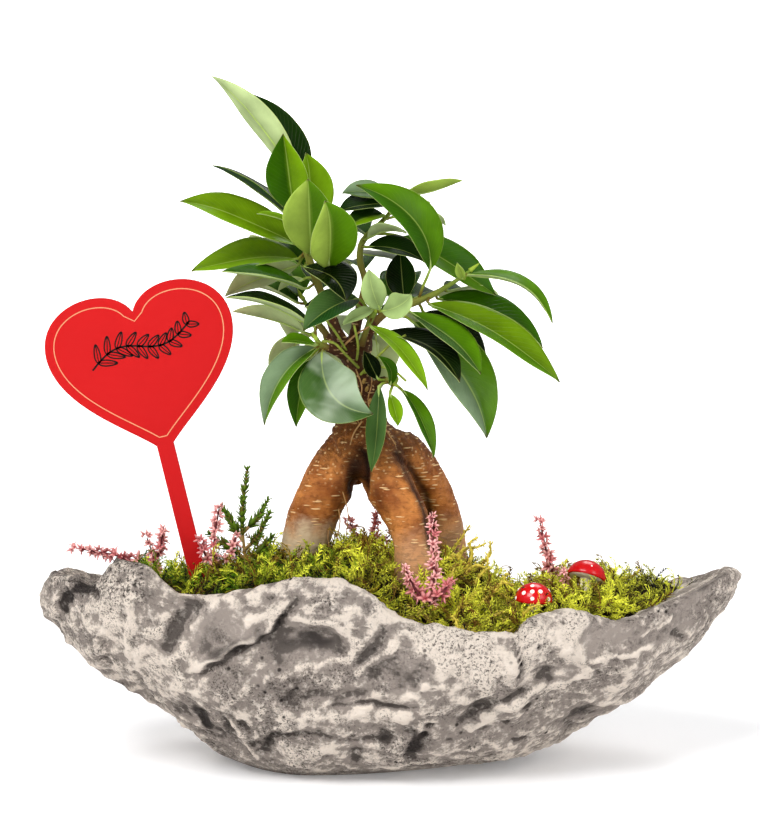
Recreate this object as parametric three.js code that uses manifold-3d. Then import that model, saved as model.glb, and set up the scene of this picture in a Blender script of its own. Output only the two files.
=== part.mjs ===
// A ficus bonsai in a boat-shaped stone planter, with moss, a heart pick, toy mushrooms and sprigs.
// Millimetres, X to the right, Y away from the viewer, Z up. The origin is on the table, under the
// middle of the planter.
import * as THREE from 'three'
import { mergeVertices } from 'three/addons/utils/BufferGeometryUtils.js'
import Module from 'manifold-3d'

const wasm = await Module()
wasm.setup()

// Driving dimensions
const PLANTER = { halfLength: 176.5, halfDepth: 85, floor: 24, around: 40 }
const CAVITY = { left: 138, right: 145, halfDepth: 66, clearance: 0.3, above: 150, around: 24 }
const MOSS_THICKNESS = 9
const FIT = 0.3
const BLADE_THICKNESS = 0.8
const PETIOLE_RADIUS = 0.8
const SIMPLIFY = 0.02
const EYE = { tilt: THREE.MathUtils.degToRad(8), distance: 1500, across: -5, up: 171.5 }

const COLOURS = {
  stone: new THREE.MeshStandardMaterial({ color: 0xb9b3aa, roughness: 0.9, metalness: 0 }),
  soil: new THREE.MeshStandardMaterial({ color: 0x3a2c20, roughness: 1, metalness: 0 }),
  moss: new THREE.MeshStandardMaterial({ color: 0x6f8f1e, roughness: 1, metalness: 0 }),
  bark: new THREE.MeshStandardMaterial({ color: 0xa87648, roughness: 0.8, metalness: 0 }),
  leaf: new THREE.MeshStandardMaterial({ color: 0x3f7a16, roughness: 0.35, metalness: 0 }),
  youngLeaf: new THREE.MeshStandardMaterial({ color: 0x8fbf3a, roughness: 0.4, metalness: 0 }),
  signRed: new THREE.MeshStandardMaterial({ color: 0xe02c2c, roughness: 0.4, metalness: 0 }),
  capRed: new THREE.MeshStandardMaterial({ color: 0xc8141c, roughness: 0.2, metalness: 0 }),
  stemWhite: new THREE.MeshStandardMaterial({ color: 0xefe9dc, roughness: 0.6, metalness: 0 }),
  pink: new THREE.MeshStandardMaterial({ color: 0xdf9299, roughness: 0.8, metalness: 0 }),
  needle: new THREE.MeshStandardMaterial({ color: 0x4c7a2e, roughness: 0.7, metalness: 0 }),
}

// Places and curves

const vector = (x, y, z) => new THREE.Vector3(x, y, z)
const routeOf = (line) => new THREE.CatmullRomCurve3(line.map(seen), false, 'centripetal')

// A place read in the front view: millimetres across and up in the plane through the origin, as an
// eye sees them that looks down by the tilt, and how far back the place lies.
function seen([across, up, back]) {
  const sine = Math.sin(EYE.tilt)
  const cosine = Math.cos(EYE.tilt)
  const right = across - EYE.across
  const rise = up - EYE.up
  const depth = (back - rise * sine) / (cosine + (rise * sine) / EYE.distance)
  const spread = 1 + depth / EYE.distance
  const z = EYE.up / cosine + spread * rise * cosine - depth * sine
  return vector(EYE.across + spread * right, back, z)
}

// The value at x on a chain of [x, value] pairs, eased between them.
function along(pairs, x) {
  const last = pairs.length - 1
  if (x <= pairs[0][0]) return pairs[0][1]
  if (x >= pairs[last][0]) return pairs[last][1]
  const next = pairs.findIndex(([position]) => position > x)
  const [x0, v0] = pairs[next - 1]
  const [x1, v1] = pairs[next]
  const t = (x - x0) / (x1 - x0)
  const eased = t * t * (3 - 2 * t)
  return v0 + (v1 - v0) * (0.5 * t + 0.5 * eased)
}

const bell = (distance) => Math.exp(-distance * distance)

// A small repeatable random number generator.
function randomSource(seed) {
  let state = seed
  return () => {
    state = (state * 1664525 + 1013904223) % 4294967296
    return state / 4294967296
  }
}

// Solids

function solid(points, triangles) {
  const geometry = new THREE.BufferGeometry()
  const places = triangles.flat().flatMap((index) => points[index].toArray())
  geometry.setAttribute('position', new THREE.Float32BufferAttribute(places, 3))
  return solidOf(geometry)
}

function solidOf(geometry) {
  const bare = geometry.clone()
  bare.deleteAttribute('normal')
  bare.deleteAttribute('uv')
  const merged = mergeVertices(bare, 1e-3)
  const vertProperties = merged.attributes.position.array
  const triVerts = new Uint32Array(merged.index.array)
  const made = new wasm.Manifold(new wasm.Mesh({ numProp: 3, vertProperties, triVerts }))
  if (made.volume() > 0) return made
  triVerts.reverse()
  return new wasm.Manifold(new wasm.Mesh({ numProp: 3, vertProperties, triVerts }))
}

function largestBody(made) {
  const bodies = made.decompose()
  return bodies.reduce((best, body) => (body.volume() > best.volume() ? body : best))
}

function meshOf(name, made, material) {
  const whole = largestBody(made.simplify(SIMPLIFY))
  const { vertProperties, triVerts } = whole.getMesh()
  const geometry = new THREE.BufferGeometry()
  geometry.setAttribute('position', new THREE.Float32BufferAttribute(vertProperties, 3))
  geometry.setIndex(new THREE.Uint32BufferAttribute(triVerts, 1))
  geometry.computeVertexNormals()
  const mesh = new THREE.Mesh(geometry, material)
  mesh.name = name
  return mesh
}

const joined = (solids) => solids.reduce((whole, next) => whole.add(next))

// A skin over rings of equal count, closed at both ends round the middle of the end ring, or at a
// tip beyond the last one. A face k for which mirrored(k) is true is split the other way.
function loft(rings, mirrored = () => false, tip = null) {
  const count = rings[0].length
  const points = rings.flat()
  const triangles = []
  for (let ring = 0; ring + 1 < rings.length; ring += 1) {
    for (let k = 0; k < count; k += 1) {
      const a = ring * count + k
      const b = ring * count + ((k + 1) % count)
      const c = b + count
      const d = a + count
      if (mirrored(k)) triangles.push([a, b, d], [b, c, d])
      else triangles.push([a, b, c], [a, c, d])
    }
  }
  const middle = (ring) => ring.reduce((sum, p) => sum.add(p), vector(0, 0, 0)).divideScalar(count)
  const firstMiddle = points.push(middle(rings[0])) - 1
  const lastMiddle = points.push(tip ?? middle(rings[rings.length - 1])) - 1
  const lastRing = (rings.length - 1) * count
  for (let k = 0; k < count; k += 1) {
    const next = (k + 1) % count
    triangles.push([firstMiddle, next, k], [lastMiddle, lastRing + k, lastRing + next])
  }
  return solid(points, triangles)
}

// A tapering limb along a smooth curve through the points, with rounded ends. swell(t, angle) is a
// factor on its radius, and grow is added all round.
const END_ROUNDING = { scale: 0.6, share: 0.35 }
function limb(points, radii, { sides = 6, steps = 8, grow = 0, swell = () => 1 } = {}) {
  const curve = new THREE.CatmullRomCurve3(points, false, 'centripetal')
  const frames = curve.computeFrenetFrames(steps + 2, false)
  const radiusAt = (t) => along(radii.map((radius, k) => [k / (radii.length - 1), radius]), t)
  const rings = []
  const ringAt = (t, step, scale) => {
    const centre = curve.getPointAt(t)
    const ring = []
    for (let k = 0; k < sides; k += 1) {
      const angle = (k / sides) * 2 * Math.PI
      const radius = (radiusAt(t) * swell(t, angle) + grow) * scale
      const point = centre.clone()
      point.addScaledVector(frames.normals[step], Math.cos(angle) * radius)
      point.addScaledVector(frames.binormals[step], Math.sin(angle) * radius)
      ring.push(point)
    }
    return ring
  }
  const endGap = END_ROUNDING.share / (steps + 2)
  rings.push(ringAt(0, 0, END_ROUNDING.scale))
  rings.push(ringAt(endGap, 0, 1))
  for (let step = 1; step < steps + 2; step += 1) {
    rings.push(ringAt(step / (steps + 2), step, 1))
  }
  rings.push(ringAt(1, steps + 2, END_ROUNDING.scale))
  return loft(rings)
}

// The planter

const RIM_FRONT = [
  [-176, 84], [-168, 95], [-156, 96], [-147, 93], [-137, 106], [-121, 107], [-108, 96],
  [-102, 91.5], [-92, 92], [-72, 97.5], [-53, 101.5], [-28, 102.5], [-10, 97], [2, 87.5],
  [19, 81.5], [35, 80], [50, 77.5], [60, 76.5], [67, 84.5], [77, 86], [92, 84], [110, 80.5],
  [118, 80.5], [126, 83.5], [138, 87], [150, 91], [160, 94], [168, 97], [176, 93.7],
]
const RIM_BACK = [
  [-176, 84], [-168, 90.5], [-150, 85], [-120, 79], [-80, 80], [-40, 84], [0, 83], [30, 78],
  [60, 69], [80, 70], [100, 73], [130, 78], [145, 81.5], [160, 88], [168, 92.5], [176, 93.7],
]
const HULL_LEVELS = [
  { height: 0, left: 84, right: 62, halfDepth: 39, middle: -40, point: 1 },
  { height: 0.05, left: 91, right: 77, halfDepth: 47, middle: -28, point: 0.35 },
  { height: 0.13, left: 98, right: 91, halfDepth: 57, middle: -20, point: 0.15 },
  { height: 0.28, left: 115, right: 106, halfDepth: 68.5, middle: -12, point: 0.08 },
  { height: 0.46, left: 141, right: 127.5, halfDepth: 77, middle: -6, point: 0.1 },
  { height: 0.64, left: 161, right: 151.5, halfDepth: 82, middle: -3, point: 0.15 },
  { height: 0.82, left: 174, right: 169.5, halfDepth: 85, middle: 0, point: 0.2 },
  { height: 0.93, left: 176, right: 174.5, halfDepth: 84.5, middle: 0, point: 0.24 },
  { height: 1, left: 176.5, right: 176.5, halfDepth: 82, middle: 0, point: 0.25 },
]
// Scoops and bosses on the outside: where along the length, how high as a share of the rim, which
// side, the size both ways and how far they stand out.
const HULL_RELIEF = [
  { at: -157, height: 0.84, side: -1, across: 7, tall: 0.08, out: -9 },
  { at: -128, height: 0.85, side: -1, across: 14, tall: 0.2, out: 4 },
  { at: -98, height: 0.8, side: -1, across: 16, tall: 0.22, out: -5 },
  { at: -82, height: 0.5, side: -1, across: 26, tall: 0.12, out: 3.5 },
  { at: -45, height: 0.66, side: -1, across: 24, tall: 0.16, out: -4.5 },
  { at: -40, height: 0.32, side: -1, across: 30, tall: 0.1, out: 3 },
  { at: -8, height: 0.5, side: -1, across: 16, tall: 0.14, out: -3.5 },
  { at: 18, height: 0.75, side: -1, across: 14, tall: 0.14, out: 3.5 },
  { at: 40, height: 0.42, side: -1, across: 24, tall: 0.16, out: -4 },
  { at: 66, height: 0.85, side: -1, across: 8, tall: 0.2, out: 3 },
  { at: 84, height: 0.5, side: -1, across: 20, tall: 0.16, out: -3 },
  { at: 115, height: 0.72, side: -1, across: 18, tall: 0.14, out: 3 },
  { at: 140, height: 0.62, side: -1, across: 12, tall: 0.12, out: -3 },
  { at: -110, height: 0.6, side: 1, across: 22, tall: 0.2, out: -4 },
  { at: -66, height: 0.72, side: 1, across: 20, tall: 0.14, out: 3.5 },
  { at: -30, height: 0.45, side: 1, across: 24, tall: 0.16, out: -4.5 },
  { at: 12, height: 0.7, side: 1, across: 22, tall: 0.16, out: -3 },
  { at: 40, height: 0.4, side: 1, across: 20, tall: 0.14, out: 3.5 },
  { at: 82, height: 0.62, side: 1, across: 22, tall: 0.18, out: -4 },
  { at: 120, height: 0.75, side: 1, across: 16, tall: 0.16, out: 3 },
]
const CAVITY_LEVELS = [
  { z: PLANTER.floor, left: 78, right: 80, halfDepth: 42, point: 0 },
  { z: 40, left: 104, right: 104, halfDepth: 54, point: 0.04 },
  { z: 58, left: 122, right: 124, halfDepth: 61, point: 0.1 },
  { z: 75, left: 132, right: 138, halfDepth: 64.5, point: 0.15 },
  { z: 92, left: CAVITY.left, right: CAVITY.right, halfDepth: CAVITY.halfDepth, point: 0.15 },
  { z: CAVITY.above, left: CAVITY.left, right: CAVITY.right, halfDepth: CAVITY.halfDepth, point: 0.15 },
]

// The relief fades out within this distance of the middle plane.
const RELIEF_FLANK = 18
// The rim from its crest inwards: how far in from the outside, and how far over the rim line.
const RIM_STEPS = [{ inset: 4, rise: 2.2 }, { inset: 10, rise: 0.5 }, { inset: 40, rise: -12 }]

const rimHeight = (x, side) => along(side < 0 ? RIM_FRONT : RIM_BACK, x)

// The boat outline: an ellipse whose ends are drawn to a point by the power above 1.
function boatOutline({ left, right, halfDepth, middle = 0, point }, angle) {
  const cosine = Math.cos(angle)
  const sine = Math.sin(angle)
  const reach = cosine < 0 ? left + middle : right - middle
  return [middle + cosine * reach, sine * Math.abs(sine) ** point * halfDepth]
}

function hullRelief(x, height, side) {
  let out = 0
  for (const spot of HULL_RELIEF) {
    if (spot.side === side) {
      out += spot.out * bell((x - spot.at) / spot.across) * bell((height - spot.height) / spot.tall)
    }
  }
  return out
}

function hullRing(level) {
  const ring = []
  for (let k = 0; k < PLANTER.around; k += 1) {
    const angle = (k / PLANTER.around) * 2 * Math.PI
    const [x, y] = boatOutline(level, angle)
    const side = y < 0 ? -1 : 1
    const flank = Math.min(1, Math.abs(y) / RELIEF_FLANK)
    const out = hullRelief(x, level.height, side) * flank
    ring.push(vector(x, y + side * out, level.height * rimHeight(x, side)))
  }
  return ring
}

// The rim's crest and its inner edge, which the cavity cuts.
function rimRing({ inset, rise }) {
  const ring = []
  for (let k = 0; k < PLANTER.around; k += 1) {
    const angle = (k / PLANTER.around) * 2 * Math.PI
    const top = HULL_LEVELS[HULL_LEVELS.length - 1]
    const [x, y] = boatOutline(top, angle)
    const side = y < 0 ? -1 : 1
    const scale = [1 - inset / PLANTER.halfLength, 1 - inset / PLANTER.halfDepth]
    ring.push(vector(x * scale[0], y * scale[1], rimHeight(x * scale[0], side) + rise))
  }
  return ring
}

function cavitySolid(shrink) {
  const rings = CAVITY_LEVELS.map((level, index) => {
    const ring = []
    for (let k = 0; k < CAVITY.around; k += 1) {
      const angle = ((k + 0.5) / CAVITY.around) * 2 * Math.PI
      const [x, y] = boatOutline(level, angle)
      const inward = vector(x / level.left ** 2, y / level.halfDepth ** 2, 0).normalize()
      const lift = index === 0 ? shrink : 0
      ring.push(vector(x - inward.x * shrink, y - inward.y * shrink, level.z + lift))
    }
    return ring
  })
  return loft(rings)
}

function planterSolid() {
  const rings = [...HULL_LEVELS.map(hullRing), ...RIM_STEPS.map(rimRing)]
  return loft(rings).subtract(cavitySolid(0))
}

// Soil and moss

const MOSS_RIDGE = [
  [-140, 85], [-118, 88], [-100, 94], [-85, 97], [-64, 100], [-45, 103], [-22, 106], [0, 103], [30, 98],
  [45, 92], [55, 85], [65, 80], [80, 84], [100, 88], [120, 90], [145, 91],
]

const MOSS_EDGE = { front: -0.5, back: 2, least: 0.04, power: 0.575, beyond: 1.1 }

// The moss's height: a ridge along the middle that falls to the rim on both sides.
function mossHeight(x, y) {
  const reach = x < 0 ? CAVITY.left : CAVITY.right
  const width = CAVITY.halfDepth * Math.max(MOSS_EDGE.least, 1 - (x / reach) ** 2) ** MOSS_EDGE.power
  const share = Math.min(MOSS_EDGE.beyond, Math.abs(y) / width)
  const side = y < 0 ? -1 : 1
  const edge = rimHeight(x, side) + (side < 0 ? MOSS_EDGE.front : MOSS_EDGE.back)
  const fall = share * share
  return along(MOSS_RIDGE, x) * (1 - fall) + edge * fall
}

// Cushions about 15 mm across with smaller ones between them.
function mossTufts(x, y) {
  const broad = Math.sin(x * 0.21 + 1.3 * Math.sin(y * 0.13)) * Math.cos(y * 0.24 + 0.6 * Math.sin(x * 0.1))
  const fine = Math.sin(x * 0.47 + y * 0.31) * Math.sin(y * 0.53 - x * 0.19)
  return 1.6 * broad + 1.1 * fine
}

const BLANKET = { halfLength: 150, halfDepth: 72, below: 5 }
const MOSS_GRID = { columns: 20, rows: 10 }
const SOIL_GRID = { columns: 10, rows: 6 }

// A slab over the cavity between two heights that are functions of x and y.
function blanket(topHeight, bottomHeight, { columns, rows }) {
  const { halfLength, halfDepth } = BLANKET
  const rings = []
  for (let column = 0; column <= columns; column += 1) {
    const x = -halfLength + (2 * halfLength * column) / columns
    const top = []
    const bottom = []
    for (let row = 0; row <= rows; row += 1) {
      const y = -halfDepth + (2 * halfDepth * row) / rows
      top.push(vector(x, y, topHeight(x, y)))
      bottom.push(vector(x, -y, bottomHeight(x, -y)))
    }
    rings.push([...top, ...bottom])
  }
  return loft(rings)
}

const soilHeight = (x, y) => mossHeight(x, y) - MOSS_THICKNESS

// Trunk: legs, crown, neck and first limbs

const bulge = (turns, phase, size) => (t, angle) => 1 + size * Math.sin(3 * angle + turns * t * 6.3 + phase)
const TRUNK_LIMBS = [
  // Left leg
  {
    points: [[-48, 66, 2], [-46.5, 84, 2], [-44, 101, 1], [-41, 116.5, 0], [-35, 130.5, -1],
      [-26.5, 144.5, -1], [-17, 156, 0]],
    radii: [7, 11, 12, 12.2, 12.6, 13.6, 14],
    sides: 8,
    steps: 7,
    swell: bulge(1.4, 0.4, 0.035),
  },
  // Middle leg, which comes forward
  {
    points: [[9, 62, -30], [11, 80, -29], [12.5, 97, -27], [11.5, 111.5, -25], [6.5, 126.5, -21],
      [-2.5, 142, -14], [-9, 154, -6]],
    radii: [6.5, 10, 11, 10.4, 11.4, 13, 13.5],
    sides: 8,
    steps: 7,
    swell: bulge(1.2, 2.1, 0.04),
  },
  // Right leg, behind
  {
    points: [[29, 66, 24], [29, 84, 23], [28, 104, 22], [25.5, 122, 20], [20.5, 134, 17],
      [12, 146, 11], [0, 156, 4]],
    radii: [6.5, 9.5, 10.2, 10.5, 10.8, 12, 13],
    sides: 8,
    steps: 7,
    swell: bulge(1.3, 3.6, 0.035),
  },
  // Crown
  {
    points: [[-21, 153, 0], [-13, 158, -1], [-4, 157, 0]],
    radii: [15, 17, 14.5],
    sides: 10,
    steps: 2,
    swell: bulge(0.8, 1.1, 0.04),
  },
  // Neck
  {
    points: [[-12, 158, -1], [-11, 168, -1], [-11.5, 179, -1], [-14.5, 190.5, -2], [-19, 201.5, -1],
      [-23, 209, 0]],
    radii: [15, 10, 6.8, 6, 5.4, 4],
    sides: 8,
    steps: 6,
    swell: bulge(2, 0, 0.05),
  },
  // First limbs: left, right, back, middle, low right, low left, back left
  { points: [[-20, 203, 0], [-26.5, 214, -1], [-30.5, 223.5, -2]], radii: [4, 3.4, 2.9] },
  { points: [[-17.5, 198, 0], [-12, 211, -2], [-7, 221.5, -3]], radii: [4, 3.2, 2.7] },
  { points: [[-16, 193, 2], [-12, 204, 14], [-10.5, 211, 23]], radii: [3.6, 3, 2.5] },
  { points: [[-20, 204, 2], [-16.5, 219, 6], [-14, 231, 9]], radii: [3.4, 2.8, 2.4] },
  { points: [[-12.5, 183, -3], [-6, 189, -9], [-2, 191, -13]], radii: [3, 2.5, 2.1] },
  { points: [[-18.5, 200, -2], [-27, 205, -7], [-32.5, 207, -10]], radii: [3, 2.6, 2.1] },
  { points: [[-18, 197, 2], [-26, 206, 13], [-31.5, 213.5, 23]], radii: [3.4, 2.8, 2.3] },
]

function trunkSolid(grow) {
  const pieces = TRUNK_LIMBS.map(({ points, radii, sides = 6, steps = 1, swell }) =>
    limb(points.map(seen), radii, { sides, steps, grow, swell }))
  return joined(pieces)
}

// Leaves

// Places along a blade and its half width there as a share of the widest. The tip is a point.
const BLADE_STATIONS = [[0, 0.07], [0.2, 0.7], [0.47, 1], [0.76, 0.68]]
const SMALL_BLADE_STATIONS = [[0, 0.1], [0.35, 0.92], [0.72, 0.72]]
const LONG_BLADE = 32
const LONG_PETIOLE = 9

// The blade's frame where its midrib runs along the tangent and its upper side looks to the face.
function bladeFrame(tangent, face) {
  const normal = vector(...face)
  normal.addScaledVector(tangent, -normal.dot(tangent)).normalize()
  return { normal, side: tangent.clone().cross(normal) }
}

function petioleRing(centre, tangent, face) {
  const { normal, side } = bladeFrame(tangent, face)
  return [150, 90, 30, -30, -90, -150].map((degrees) => {
    const angle = THREE.MathUtils.degToRad(degrees)
    const point = centre.clone().addScaledVector(side, Math.cos(angle) * PETIOLE_RADIUS)
    return point.addScaledVector(normal, Math.sin(angle) * PETIOLE_RADIUS)
  })
}

// A long stalk bends upwards by a share of its length at this place along it.
const STALK_BEND = { at: 0.55, share: 0.06 }

// A leaf: a thin stalk from a place on the twig, then the blade from its base to its tip. width is
// across the middle, face the way the upper side looks (right, back, up), bow how far the midrib's
// middle stands off the straight line, and fold how far each half is raised from flat, in degrees.
function leafSolid(from, { base, tip, width, face, bow = [0, 0, 2], fold = 18 }) {
  const start = seen(base)
  const end = seen(tip)
  const middle = start.clone().lerp(end, 0.5).addScaledVector(vector(...bow), 2)
  const midrib = new THREE.QuadraticBezierCurve3(start, middle, end)
  const stations = start.distanceTo(end) > LONG_BLADE ? BLADE_STATIONS : SMALL_BLADE_STATIONS
  const raise = THREE.MathUtils.degToRad(fold)
  const stalk = start.clone().sub(from)
  const stalkWay = stalk.clone().normalize()
  const rings = [petioleRing(from, stalkWay, face)]
  if (stalk.length() > LONG_PETIOLE) {
    const halfWay = from.clone().lerp(start, STALK_BEND.at)
    halfWay.z += stalk.length() * STALK_BEND.share
    rings.push(petioleRing(halfWay, stalkWay, face))
  }
  for (const [t, share] of stations) {
    const centre = midrib.getPoint(t)
    const { normal, side } = bladeFrame(midrib.getTangent(t), face)
    const half = (width / 2) * share
    const edge = (sign) => centre.clone()
      .addScaledVector(side, sign * half * Math.cos(raise))
      .addScaledVector(normal, half * Math.sin(raise))
    const across = [edge(-1), centre, edge(1)]
    const lifted = (point, amount) => point.clone().addScaledVector(normal, amount)
    const upper = across.map((point) => lifted(point, BLADE_THICKNESS / 2))
    const lower = across.map((point) => lifted(point, -BLADE_THICKNESS / 2)).reverse()
    rings.push([...upper, ...lower])
  }
  return loft(rings, (k) => k === 3 || k === 4, end)
}

// Leafy shoots. line is the twig's route and at the place along it that a leaf's stalk leaves.
// All places are read in the front view: across, up, back.
const SHOOTS = [
  {
    name: 'shoot_leader',
    line: [[-28.5, 219, -1.5], [-35, 235.5, -3], [-40, 249.5, -2], [-43.5, 260.5, 0], [-46, 270, 1],
      [-46, 280, 2], [-45, 291, 3]],
    radii: [2.3, 2, 1.8, 1.6, 1.4, 1.1, 0.5],
    leaves: [
      { at: 0.9, base: [-47, 290, 2], tip: [-89, 342.5, -4], width: 21, face: [0.35, 0.75, 0.5], bow: [4, 0, 4] },
      { at: 0.93, base: [-41, 291, 9], tip: [-68, 333.5, 14], width: 20, face: [0.65, -0.5, 0.5], bow: [1.5, 0, 0] },
      { at: 0.74, base: [-48, 274, -3], tip: [-53.5, 313.5, -14], width: 24, face: [-0.2, -0.95, 0.2], bow: [0, 5, 0], fold: 26 },
      { at: 0.66, base: [-42, 267, 4], tip: [-42, 304, 2], width: 24, face: [0.3, -0.9, 0.3], bow: [2, 3, 0] },
      { at: 0.5, base: [-39.5, 253, -7], tip: [-41, 291, -25], width: 27, face: [-0.1, -0.9, 0.35], bow: [0, -4, 2], fold: 20 },
      { at: 0.36, base: [-31, 246.5, -14], tip: [-32.5, 280, -38], width: 27, face: [0.2, -0.9, 0.3], bow: [2, -4, 2], fold: 24 },
      { at: 0.72, base: [-48, 270, 4], tip: [-88.5, 298, 16], width: 20, face: [0.3, 0.05, 0.95], bow: [2, 0, 2] },
      { at: 0.58, base: [-46, 258, 1], tip: [-105, 280, -4], width: 25, face: [0.1, -0.55, 0.8], bow: [0, 0, 3] },
      { at: 0.7, base: [-49, 269.5, -5], tip: [-66.5, 274, -11], width: 5, face: [0, -0.5, 0.8], bow: [0, 0, 1] },
      { at: 0.52, base: [-46, 251, 3], tip: [-99.5, 245, 10], width: 26, face: [0, -0.5, 0.85], bow: [0, 0, 3] },
      { at: 0.5, base: [-46, 248, 8], tip: [-82.5, 232.5, 22], width: 18, face: [0.3, 0.6, 0.7], bow: [0, 0, 2] },
      { at: 0.3, base: [-42, 236, -5], tip: [-84, 245, -18], width: 19, face: [0, -0.25, 0.95], bow: [0, 0, 2] },
      { at: 0.42, base: [-43, 247, -10], tip: [-22, 230, -32], width: 24, face: [0.1, -0.4, 0.9], bow: [4, -3, 3] },
      { at: 0.32, base: [-43, 241, 5], tip: [-56, 235.5, 12], width: 8, face: [0, 0.4, 0.9], bow: [0, 0, 1] },
      { at: 0.6, base: [-41, 263, 8], tip: [-37, 270, 60], width: 25, face: [0, 0.25, 0.95], bow: [0, 0, 6] },
      { at: 0.45, base: [-43, 247, 8], tip: [-70, 258, 44], width: 25, face: [-0.1, 0.2, 0.95], bow: [0, 0, 6] },
      { at: 0.28, base: [-35, 236, 5], tip: [-32, 238, 58], width: 24, face: [0.1, 0.2, 0.95], bow: [0, 0, 5] },
    ],
  },
  {
    name: 'shoot_centre',
    line: [[-14.5, 228, 8.5], [-12.5, 240, 10], [-15, 250, 9], [-14, 259, 8], [-8, 266, 9], [-1, 273, 11],
      [3, 281, 12]],
    radii: [2, 1.8, 1.6, 1.5, 1.3, 1, 0.5],
    leaves: [
      { at: 0.9, base: [6, 283, 14], tip: [36, 290.5, 20], width: 16, face: [0, 0.4, 0.9], bow: [0, 0, -1] },
      { at: 0.8, base: [8, 272, 18], tip: [28, 268, 30], width: 14, face: [0.3, 0.2, 0.9], bow: [0, 0, 3] },
      { at: 0.62, base: [6, 262, 10], tip: [53, 233, 14], width: 25, face: [0.3, -0.6, 0.7], bow: [2, 0, 0] },
      { at: 0.5, base: [-11, 257, 3], tip: [17.5, 249.5, -5], width: 17, face: [0.1, -0.5, 0.85], bow: [0, 0, 3] },
      { at: 0.55, base: [-11, 261.5, 3], tip: [8.5, 264, -8], width: 14, face: [0, 0.3, 0.95], bow: [0, 0, 3] },
      { at: 0.42, base: [-16, 254.5, 13], tip: [5, 250, 34], width: 12, face: [0.2, 0.2, 0.95], bow: [0, 0, 1] },
      { at: 0.86, base: [0, 278, 8], tip: [-26, 274.5, 2], width: 18, face: [-0.1, -0.45, 0.85], bow: [0, 0, 2] },
      { at: 0.78, base: [-3, 273, 5], tip: [-22, 266, -6], width: 14, face: [0, -0.5, 0.85], bow: [0, 0, 2] },
      { at: 0.94, base: [-1, 283, 12], tip: [-24, 284, 6], width: 13, face: [0, -0.7, 0.7], bow: [0, 0, 1.5] },
      { at: 0.84, base: [2, 275, 16], tip: [14, 268, 66], width: 25, face: [0.2, 0.2, 0.95], bow: [0, 0, 6] },
      { at: 0.6, base: [-12, 263, 14], tip: [-33, 266, 52], width: 24, face: [-0.2, 0.2, 0.95], bow: [0, 0, 5] },
      { at: 0.35, base: [-13, 246, 14], tip: [-26, 244, 62], width: 25, face: [-0.1, 0.2, 0.95], bow: [0, 0, 5] },
    ],
  },
  {
    name: 'shoot_right',
    line: [[-8.5, 218.5, -2.5], [-2, 224, -4], [6, 227, -5], [12.5, 229.5, -5], [20, 232.5, -4],
      [28, 237, -2], [36.5, 242.5, 0], [41, 246, 1]],
    radii: [2.2, 1.9, 1.8, 1.7, 1.4, 1.2, 1, 0.5],
    leaves: [
      { at: 0.45, base: [20, 245.5, -7], tip: [-17, 288, -14], width: 24, face: [0.4, -0.75, 0.5], bow: [10, -4, 5] },
      { at: 0.9, base: [38, 243, 0], tip: [81.5, 219, -6], width: 16, face: [0.2, -0.2, 0.95], bow: [5, 0, 7] },
      { at: 0.62, base: [24, 231, 4], tip: [76.5, 206.5, 12], width: 22, face: [0.25, -0.4, 0.85], bow: [4, 0, 6] },
      { at: 0.56, base: [19, 228.5, -9], tip: [85, 189.5, -16], width: 25, face: [0.3, -0.5, 0.8], bow: [4, -2, 3] },
      { at: 0.3, base: [10, 224.5, -11], tip: [45.5, 193.5, -34], width: 21, face: [0.3, -0.45, 0.85], bow: [3, -3, 2] },
      { at: 0.44, base: [17, 224, 3], tip: [46, 191, 6], width: 20, face: [0.45, -0.3, 0.8], bow: [7, 0, 5] },
      { at: 0.22, base: [12, 219, -8], tip: [48.5, 161.5, -8], width: 33, face: [0.5, -0.7, 0.4], bow: [6, -3, 3], fold: 20 },
      { at: 0.36, base: [7, 230, 6], tip: [5, 255, 13], width: 17, face: [-0.2, -0.9, 0.2], bow: [0, 0, 0], fold: 26 },
      { at: 0.94, base: [36.5, 240.5, -2], tip: [33.5, 249, -5], width: 5, face: [-0.3, -0.8, 0.3], bow: [0, 0, 0] },
      { at: 0.4, base: [12, 231, 4], tip: [30, 227, 50], width: 24, face: [0.2, 0.2, 0.95], bow: [0, 0, 6] },
      { at: 0.7, base: [28, 235, 5], tip: [50, 222, 48], width: 24, face: [0.2, 0.2, 0.95], bow: [2, 0, 6] },
      { at: 0.25, base: [3, 228, 4], tip: [8, 243, 46], width: 22, face: [0, 0.1, 0.95], bow: [0, 0, 5] },
    ],
  },
  {
    name: 'shoot_young',
    line: [[-14, 208, -4], [-12, 215, -9], [-9, 222, -14], [-6.5, 226, -17]],
    radii: [1.8, 1.5, 1.3, 0.8],
    leaves: [
      { at: 0.95, base: [-5, 226, -18], tip: [-10.5, 246, -28], width: 13, face: [0.1, -0.9, 0.2], bow: [-1, -2, 0] },
      { at: 0.95, base: [-4, 225, -18], tip: [10.5, 233.5, -28], width: 14, face: [-0.1, -0.9, 0.3], bow: [2, -2, -1] },
      { at: 0.85, base: [-8, 226, -17], tip: [-24, 218, -30], width: 7, face: [0, -0.8, 0.5], bow: [0, 0, 1] },
      { at: 0.75, base: [-10, 217.5, -20], tip: [19, 185.5, -44], width: 11, face: [0.3, -0.6, 0.7], bow: [2, -2, 3] },
      { at: 0.6, base: [-4, 214, -16], tip: [35, 189.5, -38], width: 22, face: [0.3, -0.35, 0.9], bow: [4, 0, 5] },
      { at: 0.8, base: [-15.5, 231, -17], tip: [-43.5, 215, -32], width: 20, face: [-0.3, -0.7, 0.6], bow: [0, -2, 4] },
      { at: 0.7, base: [-20, 231, -14], tip: [-43, 227, -20], width: 9, face: [0, -0.4, 0.9], bow: [0, 0, 1] },
    ],
  },
  {
    name: 'shoot_low_left',
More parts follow.
